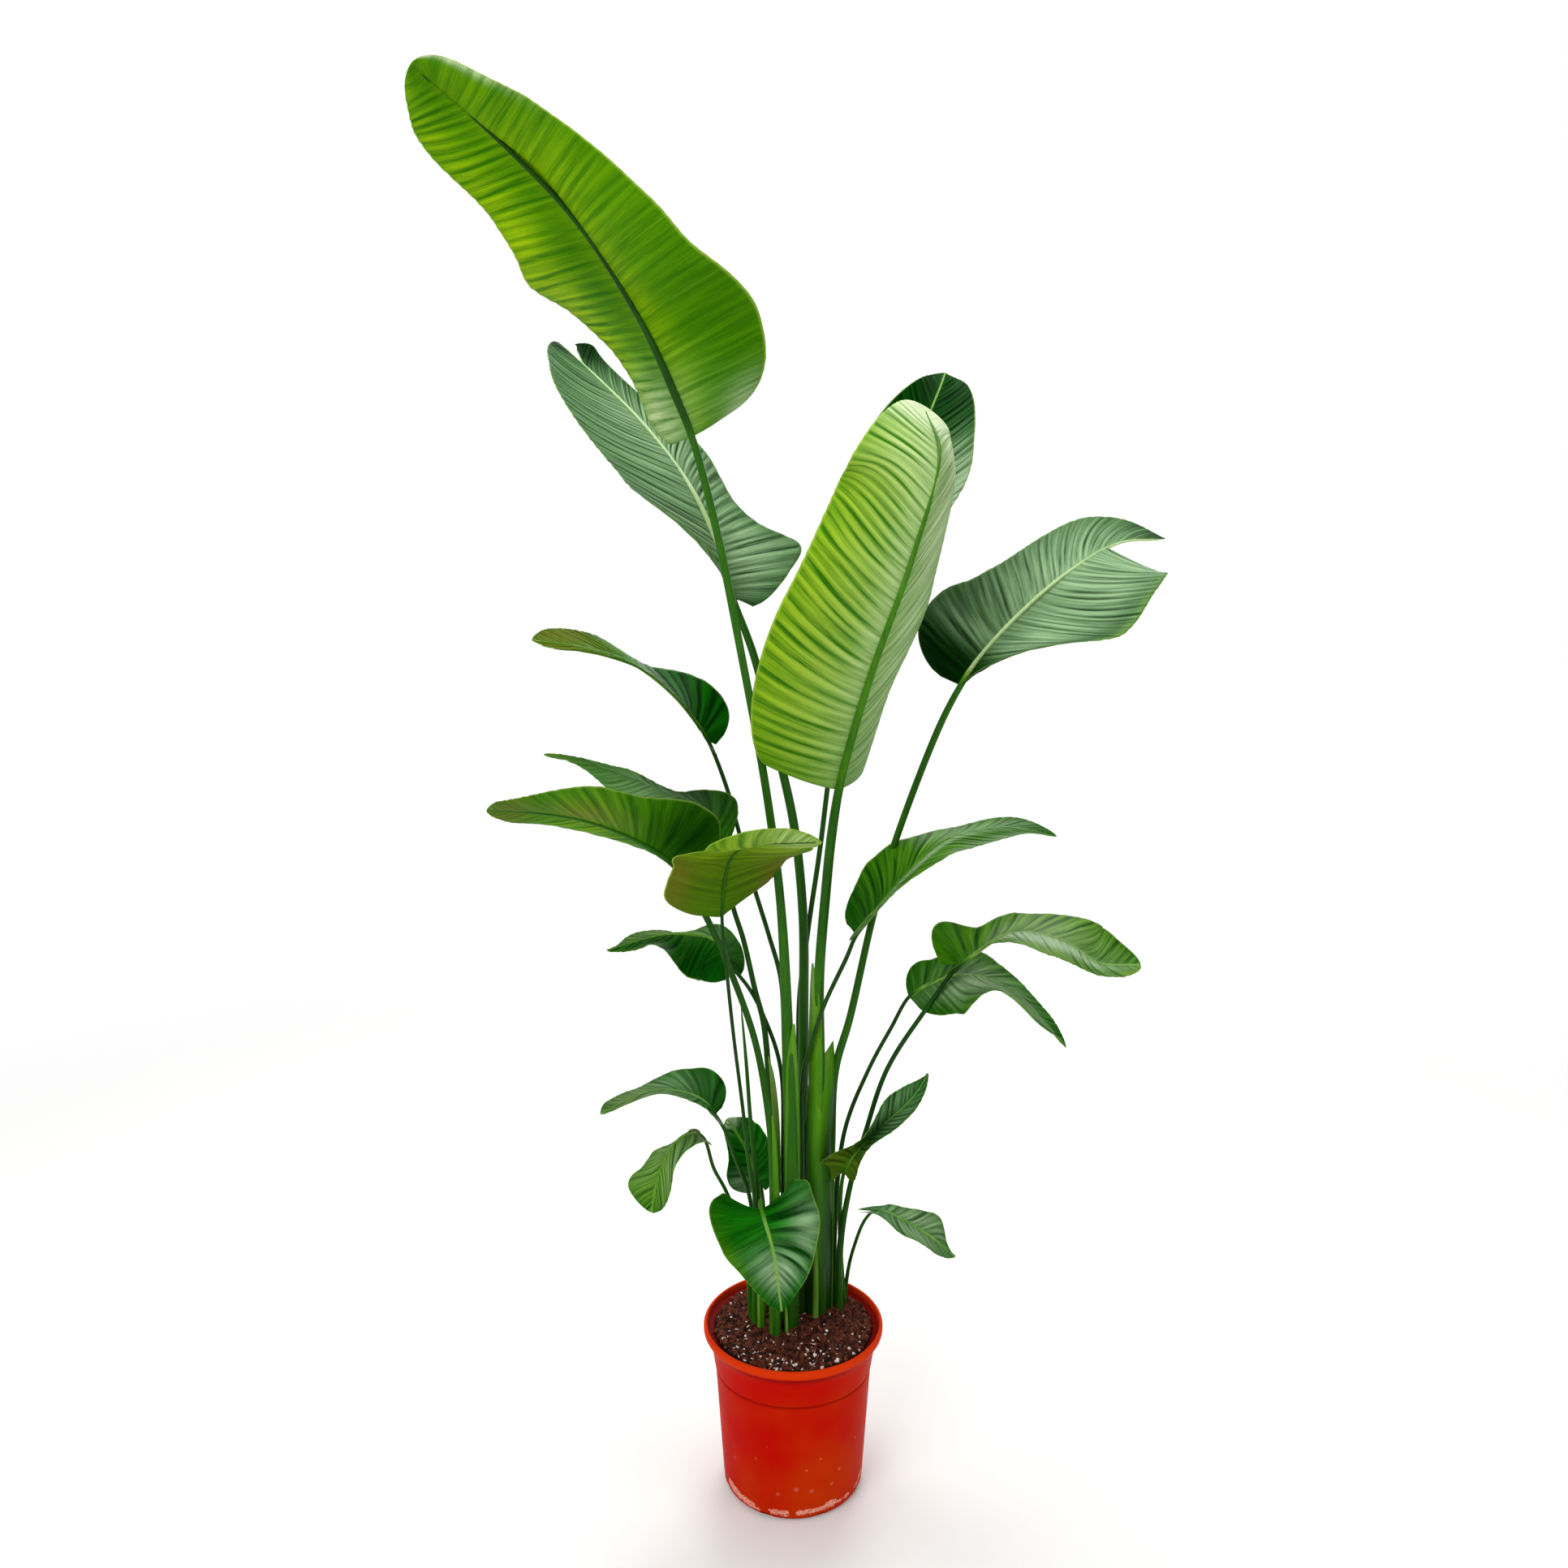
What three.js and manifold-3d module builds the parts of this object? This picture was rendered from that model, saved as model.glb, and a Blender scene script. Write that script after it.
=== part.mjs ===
// A potted bird of paradise: nineteen leaves on long stalks and one young leaf still rolled, in a
// tapered nursery pot filled with soil. Millimetres, +Z up, the front of the plant faces -Y.
// The origin is the middle of the pot's foot, on the ground.
import * as THREE from 'three';
import Module from 'manifold-3d';
import { mergeVertices } from 'three/addons/utils/BufferGeometryUtils.js';

const wasm = await Module();
wasm.setup();

// ---- pot ----
// The underside bears on a pad in its middle and on a ring at its edge, with a shallow recess
// between them. Notches and drain holes let water out.
const pot = {
  height: 224,
  footRadius: 93,
  taper: 0.066,
  wall: 1.8,
  floor: 2.6,
  padRadius: 30,
  recess: 1.2,
  footRing: 19,
  cornerRadius: 6,
  bandHeight: 166,
  bandStep: 1.2,
  lipRadius: 120,
  lipHeight: 9,
  lipThroat: 115.4,
  lipCrown: 2.2,
  lipEdge: 0.7,
  sides: 36,
  slots: 8,
  slotWidth: 16,
  slotHeight: 9,
  slotShoulder: 5,
  slotDepth: 6.4,
  drainHoles: 4,
  drainRadius: 6,
  drainCircle: 55,
  cutPast: 3,
};

// ---- soil ----
const soil = {
  level: 210,
  gap: 0.4,
  rings: 6,
  sectors: 24,
  dome: 1.5,
  waveHeight: 0.8,
  waveLengths: [70, 57, 30],
  crumbs: 14,
  crumbSize: 3.4,
  crumbSides: 5,
  crumbCircle: 92,
  seed: 11,
};

// ---- leaves ----
const blade = {
  thickness: 1,
  ribThickness: 1.6,
  tipWidth: 2,
  ridge: 0.9,
  curl: 25,
  keelHalfWidth: 4,
  keelTip: 0.8,
  veinSweep: 1.4,
  baseRound: 0.12,
  baseWidth: 0.3,
  tipRound: 0.16,
  endRows: 0.6,
  columns: 3,
};
const bladeRows = [
  { longerThan: 350, rows: 20, stalkRings: 13 },
  { longerThan: 200, rows: 14, stalkRings: 13 },
  { longerThan: 0, rows: 10, stalkRings: 10 },
];
const stalk = {
  sides: 8,
  clearance: 0.35,
  keelDepth: 1.3,
  runUnder: 0.1,
  thinning: [0.85, 0.55],
};
const wing = {
  steps: 10,
  root: 1,
  narrowest: 4,
  rootThickness: 2.2,
  edgeThickness: 0.9,
  swell: [0.12, 0.92],
};

const green = {
  bright: 0x5f9e14,
  mid: 0x2f7a1e,
  deep: 0x1c5a1e,
  sheath: 0x4f8f1a,
};
const colours = {
  top: green.bright,
  front_tall: green.bright,
  left_long: green.bright,
  front_cup: green.bright,
  right_high: green.deep,
  back_left: green.deep,
  back_right: green.deep,
};

// Each leaf: its stalk from below the soil up to the blade as [x, y, z, radius], the midrib from the
// blade's base to its tip, the way its upper face looks along the midrib, the half widths in mm left
// and right of the midrib, the width's share at equal steps from base to tip, and how far each half
// is folded up from flat in degrees, again from base to tip. Lead and lobe are shares of the length:
// how far the veins run ahead of the midrib, and how far the base hangs back past the stalk.
const leaves = [
  {
    name: 'top',
    stalk: [
      [-6, -14, 165, 7.5], [-3, -10, 430, 9.5], [-7, -20, 600, 8], [-16, -45, 796, 5.6],
      [-33, -70, 942, 5], [-62, -96, 1110, 4.6], [-92, -118, 1265, 4.6],
    ],
    rib: [
      [-115, -130, 1355], [-155, -160, 1450], [-205, -195, 1530], [-260, -235, 1595],
      [-305, -270, 1625], [-340, -300, 1645], [-360, -322, 1663],
    ],
    face: [[0.45, 0.8, 0.45], [0.45, 0.6, 0.65], [0.35, 0.4, 0.85]],
    half: [135, 140], shape: [0.8, 0.85, 1.1, 1.0, 0.7, 0.5, 0.45],
    fold: [[70, -5, -5, 5], [30, 30, -10, 0]], lead: -0.03, lobe: [-0.01, 0.04],
  },
  {
    name: 'front_tall',
    stalk: [
      [38, 20, 165, 7.5], [35, 22, 441, 9], [34, 10, 592, 7.5], [33, -14, 700, 6.6],
      [40, -38, 815, 6.2], [46, -55, 888, 6],
    ],
    rib: [[56, -72, 960], [78, -100, 1054], [131, -125, 1213], [166, -100, 1331], [157, -15, 1411]],
    face: [[-0.4, 0.85, 0.35], [-0.4, 0.9, 0.15], [-0.4, 0.5, -0.8]],
    half: [95, 135], shape: [0.85, 1.0, 0.95, 0.9, 0.75, 0.55, 0.3],
    fold: [[40, 35, 40, 10], [15, 50, 45, -10]], lead: 0.11, lobe: [0.09, 0.03],
  },
  {
    name: 'right_high',
    stalk: [
      [49, 36, 165, 6], [51, 34, 456, 6.4], [56, 28, 560, 5.6], [75, 20, 632, 5],
      [106, 12, 772, 4.6], [133, 8, 869, 4.5], [187, 4, 1021, 4.4],
    ],
    rib: [[211, 4, 1072], [249, 10, 1125], [326, 38, 1194], [409, 75, 1250], [500, 115, 1264]],
    face: [[-0.65, -0.55, 0.55], [-0.25, -0.7, 0.7], [0.3, -0.7, 0.65]],
    half: [115, 135], shape: [0.7, 0.95, 1.05, 1.0, 0.85, 0.35, 0.1],
    fold: [[35, -5, -20, 20], [40, 5, 20, -30]], lead: 0.05, lobe: [0.0, 0.01],
  },
  {
    name: 'back_left',
    stalk: [
      [14, 50, 165, 7.2], [13, 47, 416, 7.2], [14, 42, 632, 6.8], [13, 42, 765, 6.2],
      [1, 48, 886, 6], [-22, 56, 990, 5.6], [-52, 63, 1110, 5.2],
    ],
    rib: [
      [-79, 70, 1183], [-104, 90, 1262], [-150, 125, 1355], [-198, 160, 1415], [-250, 200, 1471],
      [-299, 240, 1517], [-332, 275, 1540],
    ],
    face: [[0.75, -0.6, 0.35], [0.5, -0.45, 0.75], [0.3, -0.3, 0.9]],
    half: [135, 135], shape: [0.55, 1.05, 1.0, 0.95, 0.85, 0.6, 0.25],
    fold: [[45, 0, 0, 10], [45, -20, 0, 15]], lead: 0.02, lobe: [0.03, 0.05],
  },
  {
    name: 'back_right',
    stalk: [
      [27, 60, 165, 5.5], [16, 66, 420, 4.2], [8, 62, 633, 3.6], [20, 56, 744, 3.4],
      [35, 54, 851, 3.4], [56, 58, 1022, 3.4],
    ],
    rib: [
      [73, 66, 1117], [109, 80, 1223], [151, 105, 1341], [183, 135, 1432], [200, 160, 1472],
      [212, 195, 1500],
    ],
    face: [[-0.4, -0.9, 0.25], [-0.3, -0.9, 0.3], [-0.05, -0.6, 0.8]],
    half: [80, 90], shape: [0.75, 0.9, 1.0, 0.95, 0.85, 0.55, 0.15],
    fold: [[20, 15, 10, 10], [25, 30, 5, 0]], lead: 0.05, lobe: [0.07, 0.07],
  },
  {
    name: 'left_long',
    stalk: [
      [-24, -27, 165, 8], [-26, -22, 430, 6], [-30, -24, 500, 5], [-45, -30, 601, 4.4],
      [-63, -38, 668, 4.2], [-109, -55, 788, 4],
    ],
    rib: [[-143, -66, 851], [-172, -74, 877], [-229, -90, 908], [-285, -106, 924], [-358, -130, 933]],
    face: [[0.35, 0.7, 0.6], [0.15, 0.5, 0.85], [0.0, 0.35, 0.95]],
    half: [95, 80], shape: [0.8, 1.0, 0.95, 1.0, 0.8, 0.6, 0.25],
    fold: [[35, 5, 5, 0], [40, 15, 5, -5]], lead: 0.05, lobe: [0.12, 0.05],
  },
  {
    name: 'left_back',
    stalk: [
      [-27, -5, 165, 5], [-24, 3, 432, 5], [-31, 4, 540, 4.5], [-39, 4, 632, 3.8],
      [-50, 6, 676, 3.6], [-65, 10, 742, 3.4], [-80, 14, 791, 3.2],
    ],
    rib: [
      [-89, 20, 861], [-113, 24, 909], [-145, 28, 927], [-188, 34, 945], [-223, 40, 956],
      [-265, 46, 968], [-324, 55, 979],
    ],
    face: [[0.6, 0.75, 0.25], [0.35, 0.5, 0.8], [0.2, 0.15, 0.95]],
    half: [52, 58], shape: [0.7, 1.0, 0.95, 1.0, 0.85, 0.55, 0.25],
    fold: [[25, -25, -5, 0], [15, 10, -20, 15]], lead: 0.02, lobe: [-0.02, 0.07],
  },
  {
    name: 'left_twisted',
    stalk: [
      [-3, 8, 165, 4.5], [-2, 12, 444, 4.5], [-12, 24, 620, 3.4], [-17, 32, 686, 3.2],
      [-32, 38, 740, 3], [-54, 43, 812, 3], [-74, 44, 888, 2.8], [-88, 42, 940, 2.8],
    ],
    rib: [[-109, 35, 998], [-139, 25, 1044], [-197, 12, 1096], [-254, -2, 1118], [-324, -20, 1129]],
    face: [[0.75, -0.5, 0.4], [0.55, -0.4, 0.7], [0.15, -0.05, 1.0]],
    half: [65, 70], shape: [0.75, 0.95, 1.0, 0.95, 0.85, 0.6, 0.25],
    fold: [[25, 20, 15, -20], [25, -25, 5, 20]], lead: 0.12, lobe: [0.1, 0.05],
  },
  {
    name: 'left_small',
    stalk: [
      [-15, 5, 165, 4.5], [-13, 12, 430, 4], [-17, 17, 568, 3], [-40, 8, 643, 2.8],
      [-58, 2, 680, 2.6],
    ],
    rib: [
      [-84, -4, 718], [-90, -8, 739], [-104, -12, 751], [-127, -16, 756], [-158, -22, 758],
      [-193, -28, 752], [-236, -34, 740],
    ],
    face: [[0.95, -0.2, 0.2], [0.0, 0.0, 1.0], [-0.25, 0.0, 0.95]],
    half: [52, 46], shape: [0.8, 0.9, 1.0, 1.0, 0.8, 0.6, 0.25],
    fold: [[-50, -50, -5, -5], [25, -15, 5, 15]], lead: 0.03, lobe: [0.09, 0.14],
  },
  {
    name: 'front_cup',
    stalk: [
      [-53, 2, 165, 5.5], [-51, -4, 391, 3], [-59, -14, 452, 2.6], [-65, -26, 523, 2.4],
      [-76, -48, 633, 2.3], [-83, -66, 719, 2.3],
    ],
    rib: [
      [-88, -84, 795], [-85, -88, 836], [-78, -100, 866], [-67, -125, 884], [-44, -160, 898],
      [-9, -195, 905], [28, -225, 911],
    ],
    face: [[-0.4, 0.9, 0.1], [0.0, 0.65, 0.75], [-0.05, 0.15, 1.0], [0.05, 0.25, 0.95]],
    half: [75, 85], shape: [0.75, 1.0, 0.95, 0.95, 0.8, 0.5, 0.15],
    fold: [[20, 10, -5, 5], [0, -15, 0, 40]], lead: 0.06, lobe: [-0.08, -0.0],
  },
  {
    name: 'right_middle',
    stalk: [
      [14, 27, 165, 4.5], [11, 22, 440, 4], [13, 6, 560, 3.5], [22, -7, 605, 3.2],
      [39, -18, 663, 3], [67, -26, 728, 3],
    ],
    rib: [[78, -30, 758], [145, -38, 843], [197, -42, 887], [270, -48, 899], [323, -56, 889]],
    face: [[-0.85, -0.05, 0.55], [-0.65, -0.15, 0.75], [0.3, -0.15, 0.95]],
    half: [70, 70], shape: [0.75, 0.95, 1.05, 0.95, 0.8, 0.6, 0.25],
    fold: [[15, 15, -15, 15], [20, 15, 0, 10]], lead: 0.0, lobe: [0.06, 0.07],
  },
  {
    name: 'right_lower',
    stalk: [
      [66, 33, 165, 5.5], [64, 37, 300, 5], [76, 32, 390, 4], [96, 20, 475, 3.6],
      [123, 4, 570, 3.4], [170, -14, 656, 3.2],
    ],
    rib: [
      [209, -26, 718], [255, -34, 754], [281, -38, 765], [322, -44, 761], [350, -50, 749],
      [380, -56, 730], [430, -64, 729],
    ],
    face: [[-0.6, 0.2, 0.8], [0.2, -0.05, 1.0], [0.0, -0.15, 1.0]],
    half: [90, 70], shape: [1.0, 0.7, 1.0, 1.0, 0.85, 0.6, 0.25],
    fold: [[50, 0, 20, 20], [20, 0, -5, 5]], lead: 0.04, lobe: [0.06, 0.07],
  },
  {
    name: 'right_drooping',
    stalk: [
      [58, 48, 165, 5], [56, 46, 300, 4.2], [69, 40, 466, 3], [100, 24, 561, 2.7],
      [129, 14, 623, 2.6],
    ],
    rib: [[151, 8, 667], [177, 4, 685], [229, -4, 700], [287, -12, 677], [350, -24, 609]],
    face: [[-0.55, -0.5, 0.7], [0.4, -0.3, 0.85], [0.75, -0.15, 0.65]],
    half: [50, 75], shape: [0.75, 0.9, 1.05, 0.95, 0.85, 0.6, 0.25],
    fold: [[0, -5, -5, 15], [-25, 20, 10, 25]], lead: 0.11, lobe: [0.07, -0.02],
  },
  {
    name: 'low_right_upright',
    stalk: [[75, 46, 165, 4], [66, 50, 290, 3.2], [64, 32, 370, 2.8]],
    rib: [
      [68, 22, 419], [81, 16, 445], [100, 10, 471], [118, 6, 492], [142, 2, 516], [159, -1, 536],
      [176, -4, 567],
    ],
    face: [[-0.5, -0.85, 0.05], [-0.35, -0.9, 0.2], [-0.3, -0.95, 0.1]],
    half: [42, 30], shape: [0.8, 1.0, 0.95, 0.95, 0.85, 0.55, 0.2],
    fold: [[25, 85, 50, 45], [35, 70, 50, 40]], lead: 0.06, lobe: [0.17, 0.07],
  },
  {
    name: 'low_right_small',
    stalk: [[68, 59, 165, 3.5], [76, 50, 262, 2.6], [84, 36, 308, 2.4], [97, 22, 352, 2.3]],
    rib: [[108, 16, 368], [122, 10, 371], [152, 0, 360], [183, -10, 344], [213, -20, 322]],
    face: [[-0.15, 0.2, 0.95], [0.35, -0.3, 0.9], [0.4, -0.5, 0.75]],
    half: [33, 32], shape: [0.75, 0.9, 1.0, 1.0, 0.9, 0.6, 0.25],
    fold: [[-5, 0, 25, 20], [15, 10, 15, 15]], lead: 0.08, lobe: [0.06, 0.07],
  },
  {
    name: 'front_heart',
    stalk: [[-42, -9, 165, 4.5], [-41, -15, 300, 3.6], [-42, -26, 385, 3.2], [-43, -37, 408, 3]],
    rib: [
      [-44, -46, 402], [-37, -58, 388], [-29, -66, 368], [-23, -71, 343], [-19, -73, 310],
      [-15, -72, 277],
    ],
    face: [[-0.1, -0.75, 0.65], [-0.05, -1.0, 0.1], [-0.1, -1.0, -0.05]],
    half: [75, 70], shape: [1.05, 0.95, 1.0, 0.75, 0.75, 0.35, 0.2],
    fold: [[-5, 20, 30, 0], [5, 5, 5, 5]], lead: -0.01, lobe: [0.16, 0.32],
  },
  {
    name: 'low_left',
    stalk: [[-44, 29, 165, 4], [-58, 24, 380, 3], [-78, 12, 446, 2.7], [-90, 6, 484, 2.6]],
    rib: [
      [-102, 0, 509], [-119, -4, 531], [-146, -8, 544], [-177, -12, 548], [-213, -18, 538],
      [-250, -24, 520],
    ],
    face: [[0.8, -0.3, 0.55], [0.0, 0.05, 1.0], [-0.45, 0.0, 0.9]],
    half: [44, 47], shape: [0.75, 0.95, 1.0, 0.95, 0.85, 0.6, 0.25],
    fold: [[30, 15, 10, 5], [25, 10, -5, 10]], lead: 0.06, lobe: [0.07, 0.03],
  },
  {
    name: 'low_left_hanging',
    stalk: [[-55, 17, 165, 3.6], [-66, 8, 330, 3], [-89, -10, 409, 2.6], [-104, -22, 446, 2.5]],
    rib: [
      [-115, -30, 490], [-127, -38, 501], [-145, -48, 498], [-163, -58, 478], [-173, -64, 448],
      [-180, -68, 408],
    ],
    face: [[0.55, 0.35, 0.75], [-0.75, -0.4, 0.5], [-0.75, -0.65, 0.2]],
    half: [40, 42], shape: [0.75, 0.95, 0.95, 0.95, 0.85, 0.65, 0.25],
    fold: [[-5, 5, 0, 10], [10, -25, 25, 35]], lead: 0.09, lobe: [0.07, 0.07],
  },
  {
    name: 'low_back',
    stalk: [[-33, 33, 165, 3.8], [-36, 40, 300, 3.2]],
    rib: [[-44, 52, 371], [-53, 60, 401], [-66, 66, 433], [-81, 72, 458], [-91, 76, 472]],
    face: [[-0.45, -0.9, 0.1], [-0.2, -1.0, 0.1], [-0.05, -0.95, 0.25]],
    half: [41, 40], shape: [0.75, 0.85, 1.1, 1.0, 0.9, 0.5, 0.25],
    fold: [[10, 20, 20, 25], [30, 25, 10, 20]], lead: 0.07, lobe: [0.06, 0.07],
  },
];

// The young leaf still rolled into a spear, its point hidden behind a stalk.
const spear = [
  [-42, 17, 165, 3.6],
  [-47, 9, 385, 3.2],
  [-57, 10, 500, 2.8],
  [-62, 10, 575, 2.4],
  [-69, 8, 660, 1],
];
const spearRings = 9;

// Pale wings where a sheath opens round its stalk: which leaf, the heights, how far it stands out.
const sheathWings = [
  { leaf: 'right_high', from: 380, to: 596, reach: 13, towards: [-1, -0.25] },
  { leaf: 'top', from: 400, to: 615, reach: 6, towards: [1, -0.2] },
  { leaf: 'front_tall', from: 520, to: 700, reach: 7, towards: [-1, -0.5] },
];

const point = ([x, y, z]) => new THREE.Vector3(x, y, z);
const mix = (a, b, t) => a + (b - a) * t;
const radians = THREE.MathUtils.degToRad;

// A smooth value through equally spaced stations.
function along(stations, q) {
  const last = stations.length - 1;
  const x = Math.min(Math.max(q, 0), 1) * last;
  const i = Math.min(Math.floor(x), last - 1);
  const t = x - i;
  const b = stations[i];
  const c = stations[i + 1];
  const a = i > 0 ? stations[i - 1] : 2 * b - c;
  const d = i < last - 1 ? stations[i + 2] : 2 * c - b;
  return b + 0.5 * t * (c - a + t * (2 * a - 5 * b + 4 * c - d + t * (3 * (b - c) + d - a)));
}

// Rises from 0 to 1 like a quarter circle, for rounded ends.
const bulge = (x) => Math.sqrt(Math.max(1 - (1 - Math.min(x, 1)) ** 2, 0));

// Rows of a blade lie closer together towards its two ends.
const rowShare = (t) => mix(t, (1 - Math.cos(Math.PI * t)) / 2, blade.endRows);

// A curve measured by its length, carried straight on past both ends.
class Path {
  constructor(points) {
    this.curve = new THREE.CatmullRomCurve3(points.map(point), false, 'centripetal');
    this.curve.arcLengthDivisions = 400;
    this.length = this.curve.getLength();
  }
  share(u) {
    return THREE.MathUtils.clamp(u / this.length, 0, 1);
  }
  along(u) {
    return this.curve.getTangentAt(this.share(u));
  }
  at(u) {
    const inside = THREE.MathUtils.clamp(u, 0, this.length);
    return this.curve.getPointAt(this.share(u)).addScaledVector(this.along(u), u - inside);
  }
}

// The midrib's own axes: up out of the upper face, and to the right.
function axes(rib, face, u) {
  const forward = rib.along(u);
  const x = rib.share(u) * (face.length - 1);
  const i = Math.min(Math.floor(x), face.length - 2);
  const up = point(face[i]).lerp(point(face[i + 1]), x - i);
  up.addScaledVector(forward, -up.dot(forward)).normalize();
  const right = new THREE.Vector3().crossVectors(forward, up);
  return { up, right };
}

// A point of the blade's middle surface: row q from base to tip, s from midrib to margin.
function bladePoint(leaf, rib, q, s, side) {
  const half = side < 0 ? 0 : 1;
  const start = q * rib.length;
  const lobe = leaf.lobe[half] * (1 - q) ** 6;
  const margin = rib.length * (q - lobe + leaf.lead * 4 * q * (1 - q));
  const ends = mix(blade.baseWidth, 1, bulge(q / blade.baseRound)) * bulge((1 - q) / blade.tipRound);
  const width = Math.max(leaf.half[half] * along(leaf.shape, q) * ends, blade.tipWidth);
  const u = start + (margin - start) * s ** blade.veinSweep;
  const curl = radians(blade.curl);
  const first = radians(along(leaf.fold[half], q)) - curl / 2;
  const out = (Math.sin(first + curl * s) - Math.sin(first)) / curl;
  const lift = (Math.cos(first) - Math.cos(first + curl * s)) / curl;
  const { up, right } = axes(rib, leaf.face, u);
  return rib.at(u).addScaledVector(right, side * width * out).addScaledVector(up, width * lift);
}

function toSolid(positions, triangles) {
  return new wasm.Manifold(new wasm.Mesh({
    numProp: 3,
    vertProperties: new Float32Array(positions),
    triVerts: new Uint32Array(triangles),
  }));
}

// The places across a blade: the left margin, the midrib and the right margin, with a close pair
// beside the midrib where the blade leaves the keel.
function placesAcross(leaf) {
  const keel = blade.keelHalfWidth / Math.max(...leaf.half);
  const steps = Array.from({ length: blade.columns }, (_, j) => mix(keel, 1, j / (blade.columns - 1)));
  const left = steps.map((s) => ({ side: -1, s, ridged: s > keel })).reverse();
  const right = steps.map((s) => ({ side: 1, s, ridged: s > keel }));
  return [...left, { side: 1, s: 0, ridged: false }, ...right];
}

// How high the blade stands off its middle surface along a vein, fading out at the margins.
function ridgeHeight(row, q, s) {
  const fade = Math.sin(Math.PI * Math.min(s * 1.1, 1)) ** 0.5 * Math.sin(Math.PI * q) ** 0.4;
  return (row % 2 ? 1 : -1) * blade.ridge * fade;
}

// Two faces a thickness apart, closed round the edge and split into triangles alike.
function bladeSolid(leaf, rib, rows) {
  const across = placesAcross(leaf);
  const wide = across.length;
  const middle = [];
  for (let i = 0; i <= rows; i++) {
    for (const { side, s } of across) middle.push(bladePoint(leaf, rib, rowShare(i / rows), s, side));
  }
  const normals = middle.map((_, k) => {
    const i = Math.floor(k / wide);
    const j = k % wide;
    const ahead = middle[Math.min(i + 1, rows) * wide + j].clone();
    const back = middle[Math.max(i - 1, 0) * wide + j];
    const right = middle[i * wide + Math.min(j + 1, wide - 1)].clone();
    const left = middle[i * wide + Math.max(j - 1, 0)];
    return right.sub(left).cross(ahead.sub(back)).normalize();
  });
  const keelDepth = leaf.stalk.at(-1)[3] * stalk.keelDepth;
  const upper = [];
  const lower = [];
  middle.forEach((p, k) => {
    const row = Math.floor(k / wide);
    const q = rowShare(row / rows);
    const { s, ridged } = across[k % wide];
    const half = mix(blade.ribThickness, blade.thickness, Math.min(s * 3, 1)) / 2;
    const rise = ridged ? ridgeHeight(row, q, s) : 0;
    const keel = s === 0 ? mix(keelDepth, blade.keelTip, q) : 0;
    upper.push(p.clone().addScaledVector(normals[k], rise + half));
    lower.push(p.clone().addScaledVector(normals[k], rise - half - keel));
  });
  const count = middle.length;
  const triangles = [];
  for (let i = 0; i < rows; i++) {
    for (let j = 0; j < wide - 1; j++) {
      const a = i * wide + j;
      const [b, c, d] = [a + 1, a + wide, a + wide + 1];
      const onLeft = j < wide / 2 - 1;
      const pair = onLeft ? [[a, b, d], [a, d, c]] : [[a, b, c], [b, d, c]];
      for (const [p, q, r] of pair) triangles.push(p, q, r, count + p, count + r, count + q);
    }
  }
  const edge = [];
  for (let j = 0; j < wide - 1; j++) edge.push(j);
  for (let i = 0; i < rows; i++) edge.push(i * wide + wide - 1);
  for (let j = wide - 1; j > 0; j--) edge.push(rows * wide + j);
  for (let i = rows; i > 0; i--) edge.push(i * wide);
  edge.forEach((a, k) => {
    const b = edge[(k + 1) % edge.length];
    triangles.push(a, count + a, count + b, a, count + b, b);
  });
  return toSolid([...upper, ...lower].flatMap((p) => [p.x, p.y, p.z]), triangles);
}

// Skins a row of rings, each of the same number of points and turning the same way, and caps it.
function skinSolid(rings) {
  const sides = rings[0].length;
  const last = (rings.length - 1) * sides;
  const triangles = [];
  for (let i = 0; i < last; i += sides) {
    for (let k = 0; k < sides; k++) {
      const a = i + k;
      const b = i + ((k + 1) % sides);
      triangles.push(a, b, a + sides, b, b + sides, a + sides);
    }
  }
  for (let k = 1; k < sides - 1; k++) triangles.push(0, k + 1, k, last, last + k, last + k + 1);
  return toSolid(rings.flat().flatMap((p) => [p.x, p.y, p.z]), triangles);
}

// A rod through [x, y, z, radius] points.
function rodSolid(points, count, grow = 0) {
  const path = new Path(points);
  const stations = points.map((_, i) => (i ? new Path(points.slice(0, i + 1)).length : 0));
  const radiusAt = (u) => {
    let i = 1;
    while (i < stations.length - 1 && stations[i] < u) i += 1;
    const t = THREE.MathUtils.smoothstep(u, stations[i - 1], stations[i]);
    return mix(points[i - 1][3], points[i][3], t) + grow;
  };
  const rings = [];
  let side = new THREE.Vector3(1, 0, 0);
  for (let i = 0; i <= count; i++) {
    const u = (path.length * i) / count;
    const forward = path.along(u);
    side = side.clone().addScaledVector(forward, -side.dot(forward)).normalize();
    const other = new THREE.Vector3().crossVectors(forward, side);
    rings.push(Array.from({ length: stalk.sides }, (_, k) => {
      const turn = ((k + 0.5) / stalk.sides) * 2 * Math.PI;
      return path.at(u)
        .addScaledVector(side, Math.cos(turn) * radiusAt(u))
        .addScaledVector(other, Math.sin(turn) * radiusAt(u));
    }));
  }
  return skinSolid(rings);
}

// The stalk runs on under the midrib for a tenth of the blade, thinning into the keel.
function stalkPoints(leaf, rib) {
  const top = leaf.stalk.at(-1)[3];
  const under = [0, stalk.runUnder].map((share, i) => {
    const u = share * rib.length;
    const radius = top * stalk.thinning[i];
    const p = rib.at(u).addScaledVector(axes(rib, leaf.face, u).up, -radius);
    return [p.x, p.y, p.z, radius];
  });
  return [...leaf.stalk, ...under];
}

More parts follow.
